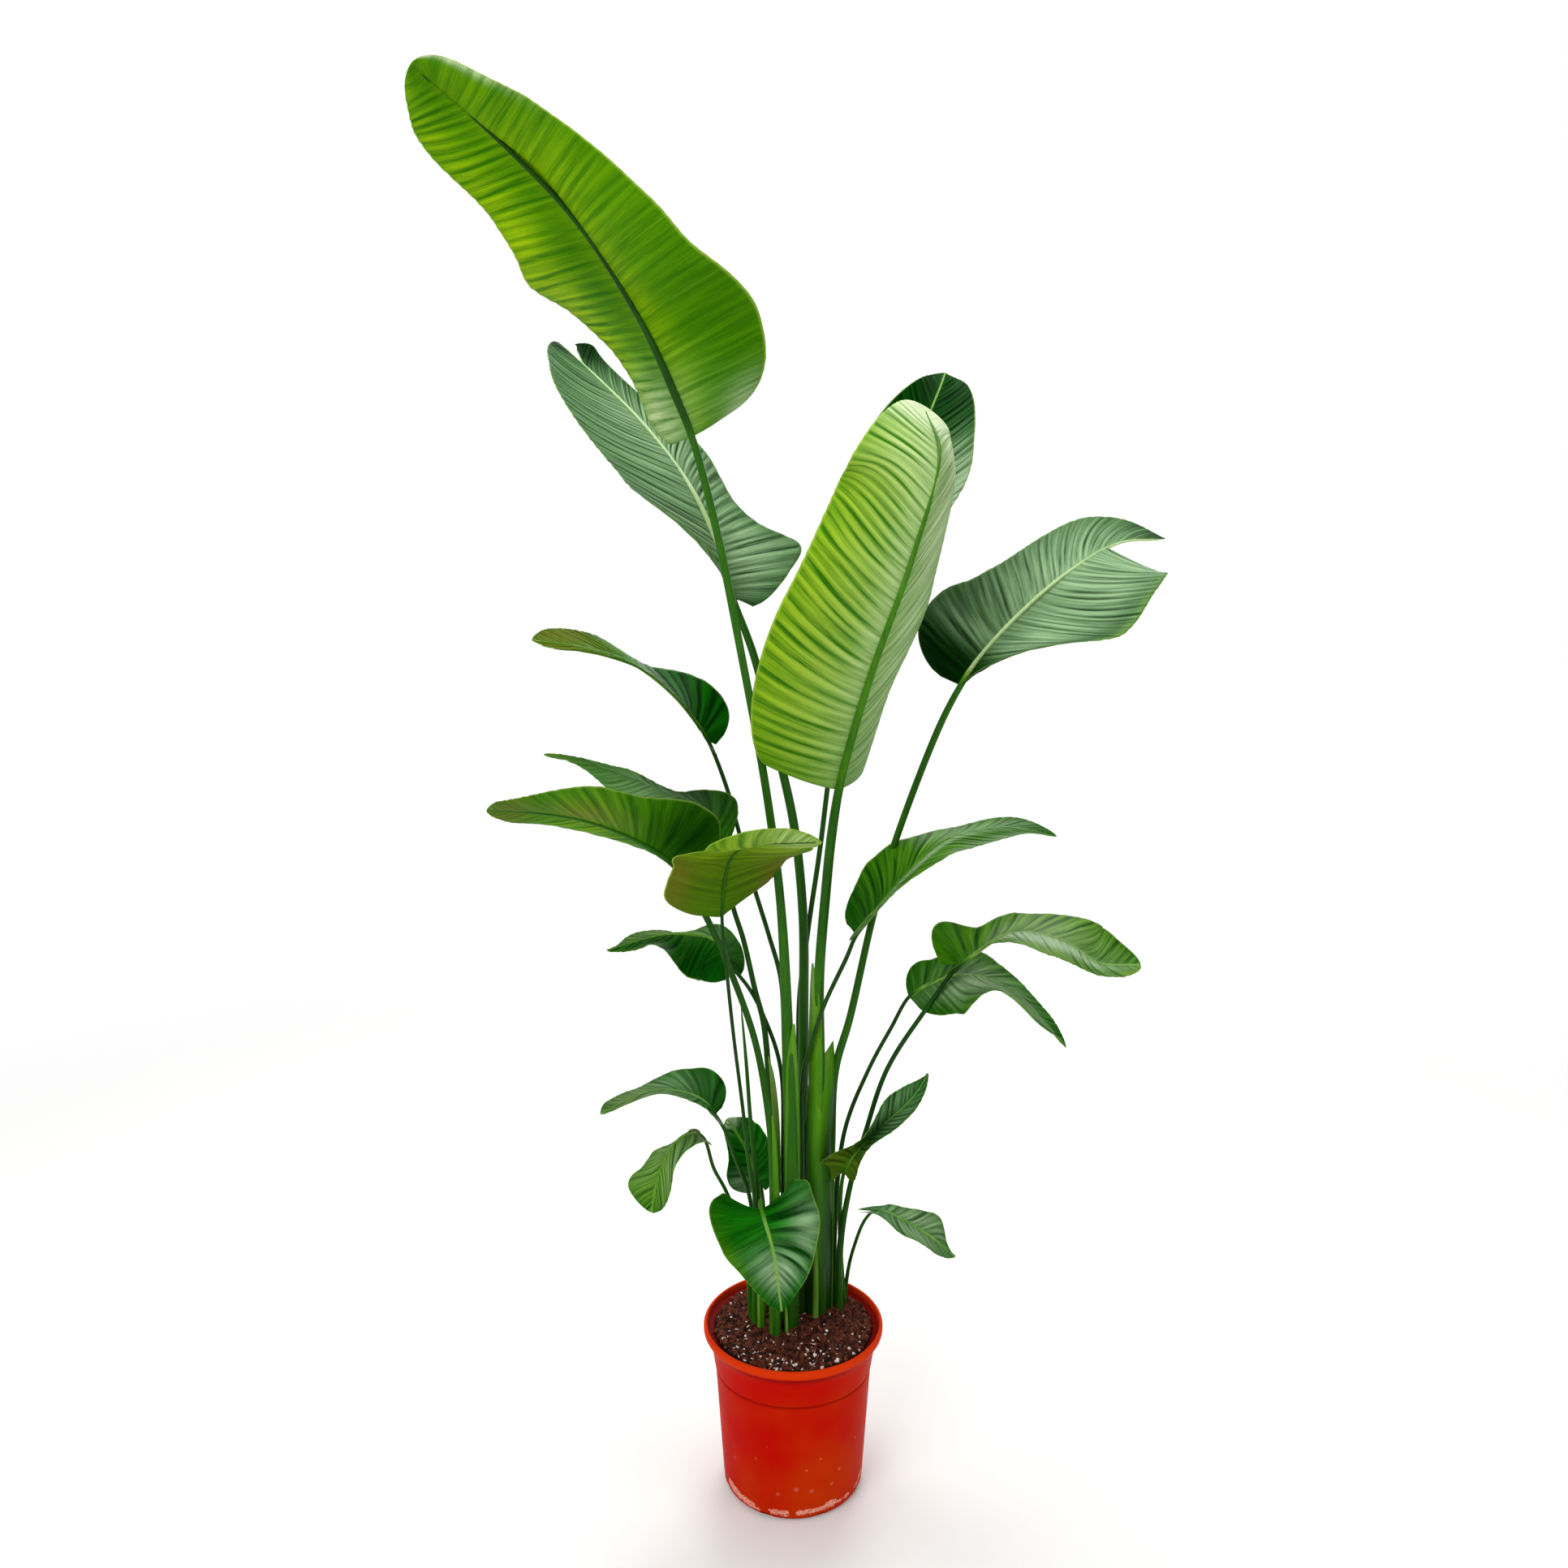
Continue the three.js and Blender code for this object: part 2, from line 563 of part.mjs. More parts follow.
// A thin tapering wing of sheath standing out from one side of a stalk.
function wingSolid(leaf, { from, to, reach, towards }) {
  const path = new Path(leaf.stalk);
  const out = new THREE.Vector3(towards[0], towards[1], 0).normalize();
  const across = new THREE.Vector3(-out.y, out.x, 0);
  const rings = [];
  for (let i = 0; i <= wing.steps; i++) {
    const z = mix(from, to, i / wing.steps);
    let u = 0;
    while (u < path.length && path.at(u).z < z) u += 1;
    const swell = Math.sin(Math.PI * mix(...wing.swell, i / wing.steps));
    const edge = wing.narrowest + (wing.narrowest + reach) * swell;
    const corners = [
      [wing.root, -wing.rootThickness / 2],
      [edge, -wing.edgeThickness / 2],
      [edge, wing.edgeThickness / 2],
      [wing.root, wing.rootThickness / 2],
    ];
    rings.push(corners.map(([r, w]) => path.at(u).addScaledVector(out, r).addScaledVector(across, w)));
  }
  return skinSolid(rings);
}

function largest(solid) {
  return solid.decompose().reduce((a, b) => (a.volume() >= b.volume() ? a : b));
}

// A solid of revolution about Z from [radius, height] points, up its outside and in at the top.
function lathe(profile, sides) {
  const shape = profile.map(([r, z]) => new THREE.Vector2(r, z));
  const geometry = new THREE.LatheGeometry(shape, sides);
  geometry.deleteAttribute('normal');
  geometry.deleteAttribute('uv');
  geometry.rotateX(Math.PI / 2);
  const merged = mergeVertices(geometry, 1e-4);
  const index = [];
  for (let i = 0; i < merged.index.count; i += 3) {
    const [a, b, c] = [0, 1, 2].map((k) => merged.index.getX(i + k));
    if (a !== b && b !== c && a !== c) index.push(a, b, c);
  }
  return toSolid(merged.attributes.position.array, index);
}

const outerRadius = (z) => pot.footRadius + pot.taper * z;
const innerRadius = (z) => outerRadius(z) - pot.wall;

function potSolid() {
  const { footRadius, footRing, padRadius, recess, cornerRadius, bandHeight, bandStep } = pot;
  const { height, floor, lipRadius, lipThroat, lipCrown, lipEdge } = pot;
  const lipFoot = height - pot.lipHeight;
  let body = lathe([
    [0, 0],
    [padRadius, 0],
    [padRadius + recess, recess],
    [footRadius - footRing - recess, recess],
    [footRadius - footRing, 0],
    [footRadius - cornerRadius, 0],
    [outerRadius(cornerRadius), cornerRadius],
    [outerRadius(bandHeight), bandHeight],
    [outerRadius(bandHeight) + bandStep, bandHeight + bandStep],
    [outerRadius(lipFoot), lipFoot - lipEdge],
    [lipRadius - lipEdge, lipFoot],
    [lipRadius, height - lipCrown],
    [lipRadius - lipCrown, height],
    [lipThroat, height - lipEdge],
    [lipThroat - lipEdge, lipFoot + lipEdge],
    [innerRadius(lipFoot - lipCrown), lipFoot - lipCrown],
    [innerRadius(bandHeight), bandHeight],
    [innerRadius(cornerRadius), cornerRadius],
    [footRadius - cornerRadius, floor],
    [0, floor],
  ], pot.sides);
  const hole = lathe([
    [0, -pot.cutPast],
    [pot.drainRadius, -pot.cutPast],
    [pot.drainRadius, floor + pot.cutPast],
    [0, floor + pot.cutPast],
  ], 8);
  for (let i = 0; i < pot.drainHoles; i++) {
    const turn = (i / pot.drainHoles) * 360;
    body = body.subtract(hole.translate([pot.drainCircle, 0, 0]).rotate([0, 0, turn]));
  }
  const slot = lathe([
    [0, -pot.cutPast],
    [pot.slotWidth / 2, -pot.cutPast],
    [pot.slotWidth / 2, pot.slotShoulder],
    [0, pot.slotHeight],
  ], 6).scale([pot.slotDepth / pot.slotWidth, 1, 1]);
  for (let i = 0; i < pot.slots; i++) {
    const turn = ((i + 0.5) / pot.slots) * 360;
    body = body.subtract(slot.translate([footRadius, 0, 0]).rotate([0, 0, turn]));
  }
  return body;
}

// The soil's top: a low dome with a few gentle waves.
function soilHeight(x, y) {
  const [a, b, c] = soil.waveLengths.map((length) => (2 * Math.PI) / length);
  const waves = Math.sin(x * a + 1) * Math.cos(y * b) + Math.sin((x - y) * c) / 2;
  const share = Math.hypot(x, y) / innerRadius(soil.level);
  return soil.level + soil.waveHeight * waves + soil.dome * (1 - share * share);
}

// A filling of soil with a crumbled top, standing free of the pot's wall by a hair.
function soilSolid(holes) {
  const { sectors, gap, level } = soil;
  const corner = pot.cornerRadius;
  const bottom = pot.floor + gap;
  const positions = [0, 0, soilHeight(0, 0)];
  let rings = 0;
  const ring = (radius, height) => {
    for (let k = 0; k < sectors; k++) {
      const turn = (k / sectors) * 2 * Math.PI;
      const x = radius * Math.cos(turn);
      const y = radius * Math.sin(turn);
      positions.push(x, y, height(x, y));
    }
    rings += 1;
  };
  const edge = innerRadius(level - 4) - gap;
  for (let i = 1; i <= soil.rings; i++) ring((edge * i) / soil.rings, soilHeight);
  ring(innerRadius(pot.bandHeight) - gap, () => pot.bandHeight);
  ring(innerRadius(corner) - gap, () => corner + gap);
  ring(pot.footRadius - corner - 2 * gap, () => bottom);
  positions.push(0, 0, bottom);
  const at = (i, k) => 1 + i * sectors + (k % sectors);
  const foot = positions.length / 3 - 1;
  const triangles = [];
  for (let k = 0; k < sectors; k++) {
    triangles.push(0, at(0, k), at(0, k + 1));
    for (let i = 0; i < rings - 1; i++) {
      triangles.push(at(i, k), at(i + 1, k), at(i + 1, k + 1));
      triangles.push(at(i, k), at(i + 1, k + 1), at(i, k + 1));
    }
    triangles.push(foot, at(rings - 1, k + 1), at(rings - 1, k));
  }
  let body = toSolid(positions, triangles);
  const random = THREE.MathUtils.seededRandom;
  random(soil.seed);
  for (let n = 0; n < soil.crumbs; n++) {
    const radius = soil.crumbCircle * Math.sqrt(random());
    const turn = 2 * Math.PI * random();
    const x = radius * Math.cos(turn);
    const y = radius * Math.sin(turn);
    const size = soil.crumbSize * mix(0.6, 1.4, random());
    const lump = lathe([[0, -size / 2], [size, 0], [0, size * 0.7]], soil.crumbSides);
    body = body.add(lump.rotate([0, 0, 360 * random()]).translate([x, y, soilHeight(x, y)]));
  }
  for (const hole of holes) body = body.subtract(hole);
  return largest(body);
}

const plant = new THREE.Group();
plant.name = 'potted_bird_of_paradise';
const container = new THREE.Group();
const foliage = new THREE.Group();
plant.add(container, foliage);

function addNode(group, name, solid, color, roughness) {
  const mesh = solid.getMesh();
  const geometry = new THREE.BufferGeometry();
  geometry.setAttribute('position', new THREE.BufferAttribute(mesh.vertProperties, 3));
  geometry.setIndex(new THREE.BufferAttribute(mesh.triVerts, 1));
  const material = new THREE.MeshStandardMaterial({ color, roughness, metalness: 0 });
  const node = new THREE.Mesh(geometry, material);
  node.name = name;
  group.add(node);
}

function near(a, b) {
  const p = a.boundingBox();
  const q = b.boundingBox();
  return [0, 1, 2].every((i) => p.min[i] <= q.max[i] && q.min[i] <= p.max[i]);
}

// Stalks that are already placed, a hair thicker: later leaves and the soil are cut clear of them.
const placed = [];
const cutClear = (solid) => placed.reduce((s, rod) => (near(s, rod) ? s.subtract(rod) : s), solid);

for (const leaf of leaves) {
  const rib = new Path(leaf.rib);
  const { rows, stalkRings } = bladeRows.find(({ longerThan }) => rib.length > longerThan);
  const rod = stalkPoints(leaf, rib);
  let whole = rodSolid(rod, stalkRings).add(bladeSolid(leaf, rib, rows));
  for (const open of sheathWings.filter((sheath) => sheath.leaf === leaf.name)) {
    whole = whole.add(wingSolid(leaf, open));
  }
  whole = largest(cutClear(whole));
  placed.push(rodSolid(rod, stalkRings, stalk.clearance));
  addNode(foliage, `leaf_${leaf.name}`, whole, colours[leaf.name] ?? green.mid, 0.4);
}

const young = largest(cutClear(rodSolid(spear, spearRings)));
placed.push(rodSolid(spear, spearRings, stalk.clearance));
addNode(foliage, 'leaf_young_spear', young, green.sheath, 0.45);

addNode(container, 'pot', potSolid(), 0xc6260a, 0.45);
addNode(container, 'soil', soilSolid(placed), 0x3a2018, 0.95);

export default plant;
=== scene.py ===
import math
import bmesh
import bpy
import numpy as np
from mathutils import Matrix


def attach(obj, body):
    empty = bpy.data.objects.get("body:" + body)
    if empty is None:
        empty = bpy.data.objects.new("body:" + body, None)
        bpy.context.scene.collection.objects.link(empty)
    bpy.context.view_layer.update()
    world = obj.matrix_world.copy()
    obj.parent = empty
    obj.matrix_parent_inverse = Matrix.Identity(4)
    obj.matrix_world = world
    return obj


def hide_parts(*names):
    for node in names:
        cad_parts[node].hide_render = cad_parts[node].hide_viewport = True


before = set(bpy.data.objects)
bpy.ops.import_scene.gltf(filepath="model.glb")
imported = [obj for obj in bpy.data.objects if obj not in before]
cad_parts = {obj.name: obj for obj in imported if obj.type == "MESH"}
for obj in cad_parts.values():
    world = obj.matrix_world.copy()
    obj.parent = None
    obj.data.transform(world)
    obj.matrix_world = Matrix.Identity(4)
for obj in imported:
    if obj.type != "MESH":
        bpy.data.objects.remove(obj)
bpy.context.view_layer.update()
mm = 0.001
print("frame loaded")


# hex colour, as a painter would name it, to the linear values that shaders take
def paint(code):
    parts = [int(code[i:i + 2], 16) / 255 for i in (1, 3, 5)]
    linear = [c / 12.92 if c <= 0.04045 else ((c + 0.055) / 1.055) ** 2.4 for c in parts]
    return (*linear, 1.0)


def addToScene(thing):
    bpy.context.scene.collection.objects.link(thing)
    return thing


def feed(tree, socket, value):
    if isinstance(value, bpy.types.NodeSocket):
        tree.links.new(value, socket)
    else:
        socket.default_value = value


# a node with its settings made first, then its inputs fed by name or number
def addNode(tree, kind, inputs=None, **settings):
    node = tree.nodes.new(kind)
    for name, value in settings.items():
        setattr(node, name, value)
    for name, value in (inputs or {}).items():
        feed(tree, node.inputs[name], value)
    return node


def calc(tree, operation, a, b=0.0, c=0.0, clamp=False):
    node = addNode(tree, "ShaderNodeMath", {0: a, 1: b, 2: c}, operation=operation, use_clamp=clamp)
    return node.outputs[0]


def scaled(tree, value, by, plus=0.0, clamp=False):
    return calc(tree, "MULTIPLY_ADD", value, by, plus, clamp)


def blendColour(tree, share, a, b, way="MIX"):
    return addNode(tree, "ShaderNodeMix", {0: share, 6: a, 7: b}, data_type="RGBA", blend_type=way).outputs[2]


def remap(tree, value, low, high, toLow=0.0, toHigh=1.0, curve="SMOOTHSTEP"):
    spans = {"Value": value, "From Min": low, "From Max": high, "To Min": toLow, "To Max": toHigh}
    return addNode(tree, "ShaderNodeMapRange", spans, interpolation_type=curve).outputs[0]


def vectorCalc(tree, operation, inputs, out="Vector"):
    return addNode(tree, "ShaderNodeVectorMath", inputs, operation=operation).outputs[out]


def axes(tree, place):
    return addNode(tree, "ShaderNodeSeparateXYZ", {0: place}).outputs


def readNumber(tree, name):
    return addNode(tree, "ShaderNodeAttribute", attribute_name=name).outputs["Fac"]


def objectPlace(tree):
    return addNode(tree, "ShaderNodeTexCoord").outputs["Object"]


def stretched(tree, place, scale):
    return addNode(tree, "ShaderNodeMapping", {"Vector": place, "Scale": scale}).outputs[0]


def cloudy(tree, place, size, detail=3.0, rough=0.55):
    inputs = {"Vector": place, "Scale": 1 / size, "Detail": detail, "Roughness": rough}
    return addNode(tree, "ShaderNodeTexNoise", inputs).outputs["Fac"]


def bumpOf(tree, height, depth, strength):
    inputs = {"Height": height, "Distance": depth, "Strength": strength}
    return addNode(tree, "ShaderNodeBump", inputs).outputs[0]


def newFinish(name):
    material = bpy.data.materials.new(name)
    material.use_nodes = True
    tree = material.node_tree
    return material, tree, tree.nodes["Principled BSDF"]


def setSkin(tree, skin, colour, rough, bump, gloss):
    inputs = {"Base Color": colour, "Roughness": rough, "Normal": bump, "Specular IOR Level": gloss}
    for name, value in inputs.items():
        feed(tree, skin.inputs[name], value)


# eye in millimetres; a lamp is its name, place and aim in metres, width in metres and watts
studio = {"eye": (-12.3, -1480, 1124), "pitchDown": 6.8, "lens": 26.9,
          "paper": "#ffffff", "floor": "#e4e4e2", "floorWide": 120.0, "floorSides": 96, "paperNear": 0.5,
          "paperFar": 3.2, "floorGlow": 0.1, "skyShown": 1.0, "skyLight": 0.5, "groundLight": 0.3,
          "skySpan": (-0.4, 0.7),
          "lamps": [("topLamp", (-0.3, 0.3, 3.4), (0.0, 0.0, 0.9), 1.8, 72),
                    ("frontLamp", (-1.9, -3.0, 2.5), (0.0, 0.0, 0.7), 2.2, 80),
                    ("rightLamp", (2.9, -1.2, 1.6), (0.0, 0.0, 0.8), 1.6, 24),
                    ("backLamp", (0.6, 2.8, 2.6), (0.0, 0.0, 1.0), 2.0, 55)]}


def setCamera():
    glass = bpy.data.cameras.new("camera")
    glass.lens = studio["lens"]
    glass.sensor_width = 36
    eye = addToScene(bpy.data.objects.new("camera", glass))
    eye.location = [c * mm for c in studio["eye"]]
    eye.rotation_euler = (math.radians(90 - studio["pitchDown"]), 0, 0)
    bpy.context.scene.camera = eye


def setLamps():
    for name, place, aim, wide, watts in studio["lamps"]:
        data = bpy.data.lights.new(name, "AREA")
        data.shape = "SQUARE"
        data.size = wide
        data.energy = watts
        lamp = addToScene(bpy.data.objects.new(name, data))
        lamp.location = place
        way = [b - a for a, b in zip(place, aim)]
        flat = math.hypot(way[0], way[1])
        lamp.rotation_euler = (math.atan2(flat, -way[2]), 0, math.atan2(way[1], way[0]) - math.pi / 2)


# the background shows as white paper, and lights the plant a little less from below than from above
def setSky():
    world = bpy.data.worlds.new("paper")
    bpy.context.scene.world = world
    world.use_nodes = True
    tree = world.node_tree
    tree.nodes.clear()
    rise = axes(tree, addNode(tree, "ShaderNodeTexCoord").outputs["Generated"])["Z"]
    light = remap(tree, rise, *studio["skySpan"], studio["groundLight"], studio["skyLight"], "LINEAR")
    soft = addNode(tree, "ShaderNodeBackground", {"Strength": light})
    paper = {"Color": paint(studio["paper"]), "Strength": studio["skyShown"]}
    shown = addNode(tree, "ShaderNodeBackground", paper)
    seen = addNode(tree, "ShaderNodeLightPath").outputs["Is Camera Ray"]
    pick = addNode(tree, "ShaderNodeMixShader", {0: seen, 1: soft.outputs[0], 2: shown.outputs[0]})
    addNode(tree, "ShaderNodeOutputWorld", {"Surface": pick.outputs[0]})
    view = bpy.context.scene.view_settings
    view.view_transform = "Standard"
    view.look = "None"


setCamera()
setLamps()
setSky()
print("camera, lamps and sky set")

# ground and light are the two greens of a face, glow is painted light that comes through the blade, and sheen
# is a painted reflection
leafLooks = {
    "deepLeaf": {"ground": "#022a02", "light": "#126206", "underGround": "#1a5204", "underLight": "#4a8a0a",
                 "glow": "#5c9006", "sheen": "#8cab80", "vein": "#8fb67c", "edge": "#5f8434",
                 "roughness": 0.34},
    "midLeaf": {"ground": "#023c02", "light": "#167e04", "underGround": "#1c6003", "underLight": "#4c920a",
                "glow": "#74a006", "sheen": "#a9c39c", "vein": "#86b456", "edge": "#7c9840",
                "roughness": 0.36},
    "brightLeaf": {"ground": "#1a6402", "light": "#4d9a04", "underGround": "#2f6e02", "underLight": "#5a9602",
                   "glow": "#98ba08", "sheen": "#c8d8ac", "vein": "#8cba2c", "edge": "#94b43c",
                   "roughness": 0.42},
}
# what all leaves share, in metres: fine veins, streaks along them, and the tints of shade and dry spots
leafGrain = {"veinStep": 0.0021, "veinDrift": 0.0035, "streakWide": 0.0055, "paleWide": 0.0042,
             "cloudWide": 0.03, "ribBand": (0.0012, 0.0032), "bump": 0.0003, "shade": "#2e7a24",
             "dry": "#6f5a22", "underRoughness": 0.5, "gloss": 0.015}


def leafFinish(name):
    look = leafLooks[name]
    grain = leafGrain
    material, tree, skin = newFinish(name)
    place = addNode(tree, "ShaderNodeUVMap", uv_map="bladeMap").outputs[0]
    pleat = readNumber(tree, "pleat")
    under = readNumber(tree, "under")
    sheen = readNumber(tree, "sheen")
    across = axes(tree, place)
    drift = cloudy(tree, stretched(tree, place, (0.5, 2.0, 1.0)), 0.02, 2.0)
    run = scaled(tree, drift, grain["veinDrift"], across["Y"])
    line = remap(tree, calc(tree, "SINE", scaled(tree, run, 2 * math.pi / grain["veinStep"])), 0.35, 1.0)
    broad = cloudy(tree, stretched(tree, place, (0.35, 1.6, 1.0)), grain["cloudWide"], 4.0)
    streak = cloudy(tree, stretched(tree, place, (0.045, 1.0, 1.0)), grain["streakWide"], 4.0, 0.6)
    streak = remap(tree, streak, 0.3, 0.7)
    pale = cloudy(tree, stretched(tree, place, (0.03, 1.0, 1.0)), grain["paleWide"], 2.0)
    pale = remap(tree, pale, 0.6, 0.72)
    # the pleats are painted lighter on their crests and darker in their hollows, as painted light and shade,
    # over random tone
    tone = scaled(tree, pleat, 0.42, scaled(tree, broad, 0.6, scaled(tree, streak, 0.55, -0.15)))
    tone = scaled(tree, line, -0.12, tone, clamp=True)
    upper = blendColour(tree, tone, paint(look["ground"]), paint(look["light"]))
    lower = blendColour(tree, tone, paint(look["underGround"]), paint(look["underLight"]))
    colour = blendColour(tree, under, upper, lower)
    # the pale veins show more where the reflection is painted
    pale = scaled(tree, pale, scaled(tree, sheen, 0.3, 0.16), clamp=True)
    colour = blendColour(tree, pale, colour, paint(look["vein"]))
    # light coming through the blade is painted in as yellow-green, stronger on pleat crests and along streaks
    lit = scaled(tree, pleat, 0.5, scaled(tree, streak, 0.7, 0.2))
    glow = scaled(tree, readNumber(tree, "glow"), lit, clamp=True)
    colour = blendColour(tree, glow, colour, paint(look["glow"]))
    # the reflection is painted on: stronger on pleat crests, along streaks and in broad clouds
    reflectionShare = scaled(tree, broad, 0.5, scaled(tree, pleat, 0.5, scaled(tree, streak, 0.8, 0.1)))
    colour = blendColour(tree, scaled(tree, sheen, reflectionShare, clamp=True), colour, paint(look["sheen"]))
    shade = scaled(tree, readNumber(tree, "shade"), 0.85, clamp=True)
    dark = blendColour(tree, 1.0, colour, paint(grain["shade"]), "MULTIPLY")
    colour = blendColour(tree, shade, colour, dark)
    dry = scaled(tree, readNumber(tree, "dry"), calc(tree, "ADD", broad, 0.45), clamp=True)
    colour = blendColour(tree, dry, colour, paint(grain["dry"]))
    # the rib's pale band on the upper side, and the thin margin
    band = remap(tree, calc(tree, "ABSOLUTE", across["X"]), *grain["ribBand"], 0.8, 0.0)
    band = scaled(tree, band, calc(tree, "SUBTRACT", 1.0, under))
    colour = blendColour(tree, band, colour, paint(look["vein"]))
    margin = remap(tree, readNumber(tree, "share"), 0.965, 1.0, 0.0, 0.75)
    colour = blendColour(tree, margin, colour, paint(look["edge"]))
    rough = scaled(tree, under, grain["underRoughness"] - look["roughness"], look["roughness"] - 0.06)
    rough = scaled(tree, broad, 0.12, rough)
    bump = bumpOf(tree, scaled(tree, streak, 1.2, line), grain["bump"], 0.7)
    setSkin(tree, skin, colour, rough, bump, grain["gloss"])
    return material


# a stalk goes from dark at its thin top to yellow-green at its sheath, and on into the leaf's rib
stalkLook = {"dark": "#123607", "green": "#265c08", "fresh": "#4c8606", "pale": "#84a84e", "cream": "#b4c69c",
             "stops": {"green": 0.25, "fresh": 0.5, "pale": 0.78}, "toneMost": 4.0,
             "fibreWide": 0.0028, "fibreTone": 0.8, "patchWide": 0.03, "patchTone": 1.0, "roughness": 0.42,
             "gloss": 0.1, "bump": 0.0005}


def stalkFinish():
    look = stalkLook
    material, tree, skin = newFinish("stalkSkin")
    place = objectPlace(tree)
    fibres = cloudy(tree, stretched(tree, place, (1.0, 1.0, 0.035)), look["fibreWide"])
    patches = cloudy(tree, stretched(tree, place, (1.0, 1.0, 0.25)), look["patchWide"])
    tone = readNumber(tree, "tone")
    for noise, strength in ((fibres, look["fibreTone"]), (patches, look["patchTone"])):
        tone = calc(tree, "ADD", tone, scaled(tree, noise, strength, -strength / 2))
    ramp = addNode(tree, "ShaderNodeValToRGB", {0: calc(tree, "DIVIDE", tone, look["toneMost"], clamp=True)})
    stops = ramp.color_ramp.elements
    stops[0].color = paint(look["dark"])
    stops[1].color = paint(look["cream"])
    for name, spot in look["stops"].items():
        stops.new(spot).color = paint(look[name])
    rough = scaled(tree, fibres, 0.2, look["roughness"] - 0.1)
    setSkin(tree, skin, ramp.outputs[0], rough, bumpOf(tree, fibres, look["bump"], 0.6), look["gloss"])
    return material


finishes = {name: leafFinish(name) for name in leafLooks}
finishes["stalkSkin"] = stalkFinish()
print("leaf and stalk finishes mixed")


# a smooth value through equally spaced stations
def alongStations(stations, q):
    values = np.asarray(stations, float)
    last = len(values) - 1
    x = np.clip(q, 0, 1) * last
    i = np.minimum(x.astype(int), last - 1)
    t = x - i
    ends = np.concatenate([[2 * values[0] - values[1]], values, [2 * values[-1] - values[-2]]])
    a, b, c, d = ends[i], ends[i + 1], ends[i + 2], ends[i + 3]
    return b + 0.5 * t * (c - a + t * (2 * a - 5 * b + 4 * c - d + t * (3 * (b - c) + d - a)))


# a curve through points, centripetal, as a polyline of 40 steps a span, measured along its length
def drawCurve(points, fineness=40):
    p = np.asarray(points, float)
    ends = np.vstack([2 * p[0] - p[1], p, 2 * p[-1] - p[-2]])
    made = []
    for i in range(len(p) - 1):
        a, b, c, d = ends[i:i + 4]
        ab, bc, cd = [max(np.linalg.norm(v - u) ** 0.5, 1e-4) for u, v in ((a, b), (b, c), (c, d))]
        leave = ((b - a) / ab - (c - a) / (ab + bc) + (c - b) / bc) * bc
        arrive = ((c - b) / bc - (d - b) / (bc + cd) + (d - c) / cd) * bc
        t = (np.arange(fineness) / fineness)[:, None]
        cubic = 2 * b - 2 * c + leave + arrive
        made.append(b + leave * t + (-3 * b + 3 * c - 2 * leave - arrive) * t ** 2 + cubic * t ** 3)
    line = np.vstack([*made, p[-1:]])
    marks = np.concatenate([[0], np.cumsum(np.linalg.norm(np.diff(line, axis=0), axis=1))])
    return {"line": line, "marks": marks, "knots": marks[::fineness], "length": marks[-1]}


def pointOn(curve, u):
    return np.stack([np.interp(u, curve["marks"], curve["line"][:, k]) for k in range(3)], -1)


def unit(v):
    return v / np.linalg.norm(v, axis=-1, keepdims=True)


def curveWay(curve, u):
    inside = np.clip(u, 0, curve["length"])
    ahead = pointOn(curve, np.minimum(inside + 2, curve["length"]))
    return unit(ahead - pointOn(curve, np.maximum(inside - 2, 0)))


# a curve runs straight on past its ends
def curveAt(curve, u):
    inside = np.clip(u, 0, curve["length"])
    return pointOn(curve, inside) + (u - inside)[..., None] * curveWay(curve, inside)


# Millimetres, as the CAD has them. stalk is (x, y, z, radius) from under the soil up to the blade, rib runs
# on to the tip, and face is where the upper side looks. Pairs are for a blade's left and right half, -1 and
# 1 below: half is the greatest width, shape its percentage from base to tip, fold the degrees it is folded
# up, lead how far the margin runs ahead of the rib, lobe how far it goes back past the base, base and tip
# how blunt the ends are, reach how much of the rib it follows, contrast how strongly the painted light and
# shade of the pleats show, and sweep how the veins bend at base and tip. pleat is the spacing and the two
# depths of the pleats, waves what they are made of; they fade at calmTip and softEdge. torn is a half, the
# tear's start and end along the rib, its width and bend. tones are the stalk's at foot, middle and top, and
# the rib's. A patch is its kind, half or 0 for both, place along and out, spread along and out, and
# strength. The kinds paint light coming through the blade, a reflection or shade, or mark a dry brown spot.
plainLeaf = dict(finish="midLeaf", base=(0.3, 0.3), reach=(1, 1), contrast=(0.8, 0.8),
                 sweep=((0.5, 0.5), (0.5, 0.5)), waves=(1, 0.6, 0.55, 0.35), calmTip=0.06,
                 softEdge=0.45, torn=(0, 0, 1, 0, 1), ribWide=1, ribSunk=0.3)
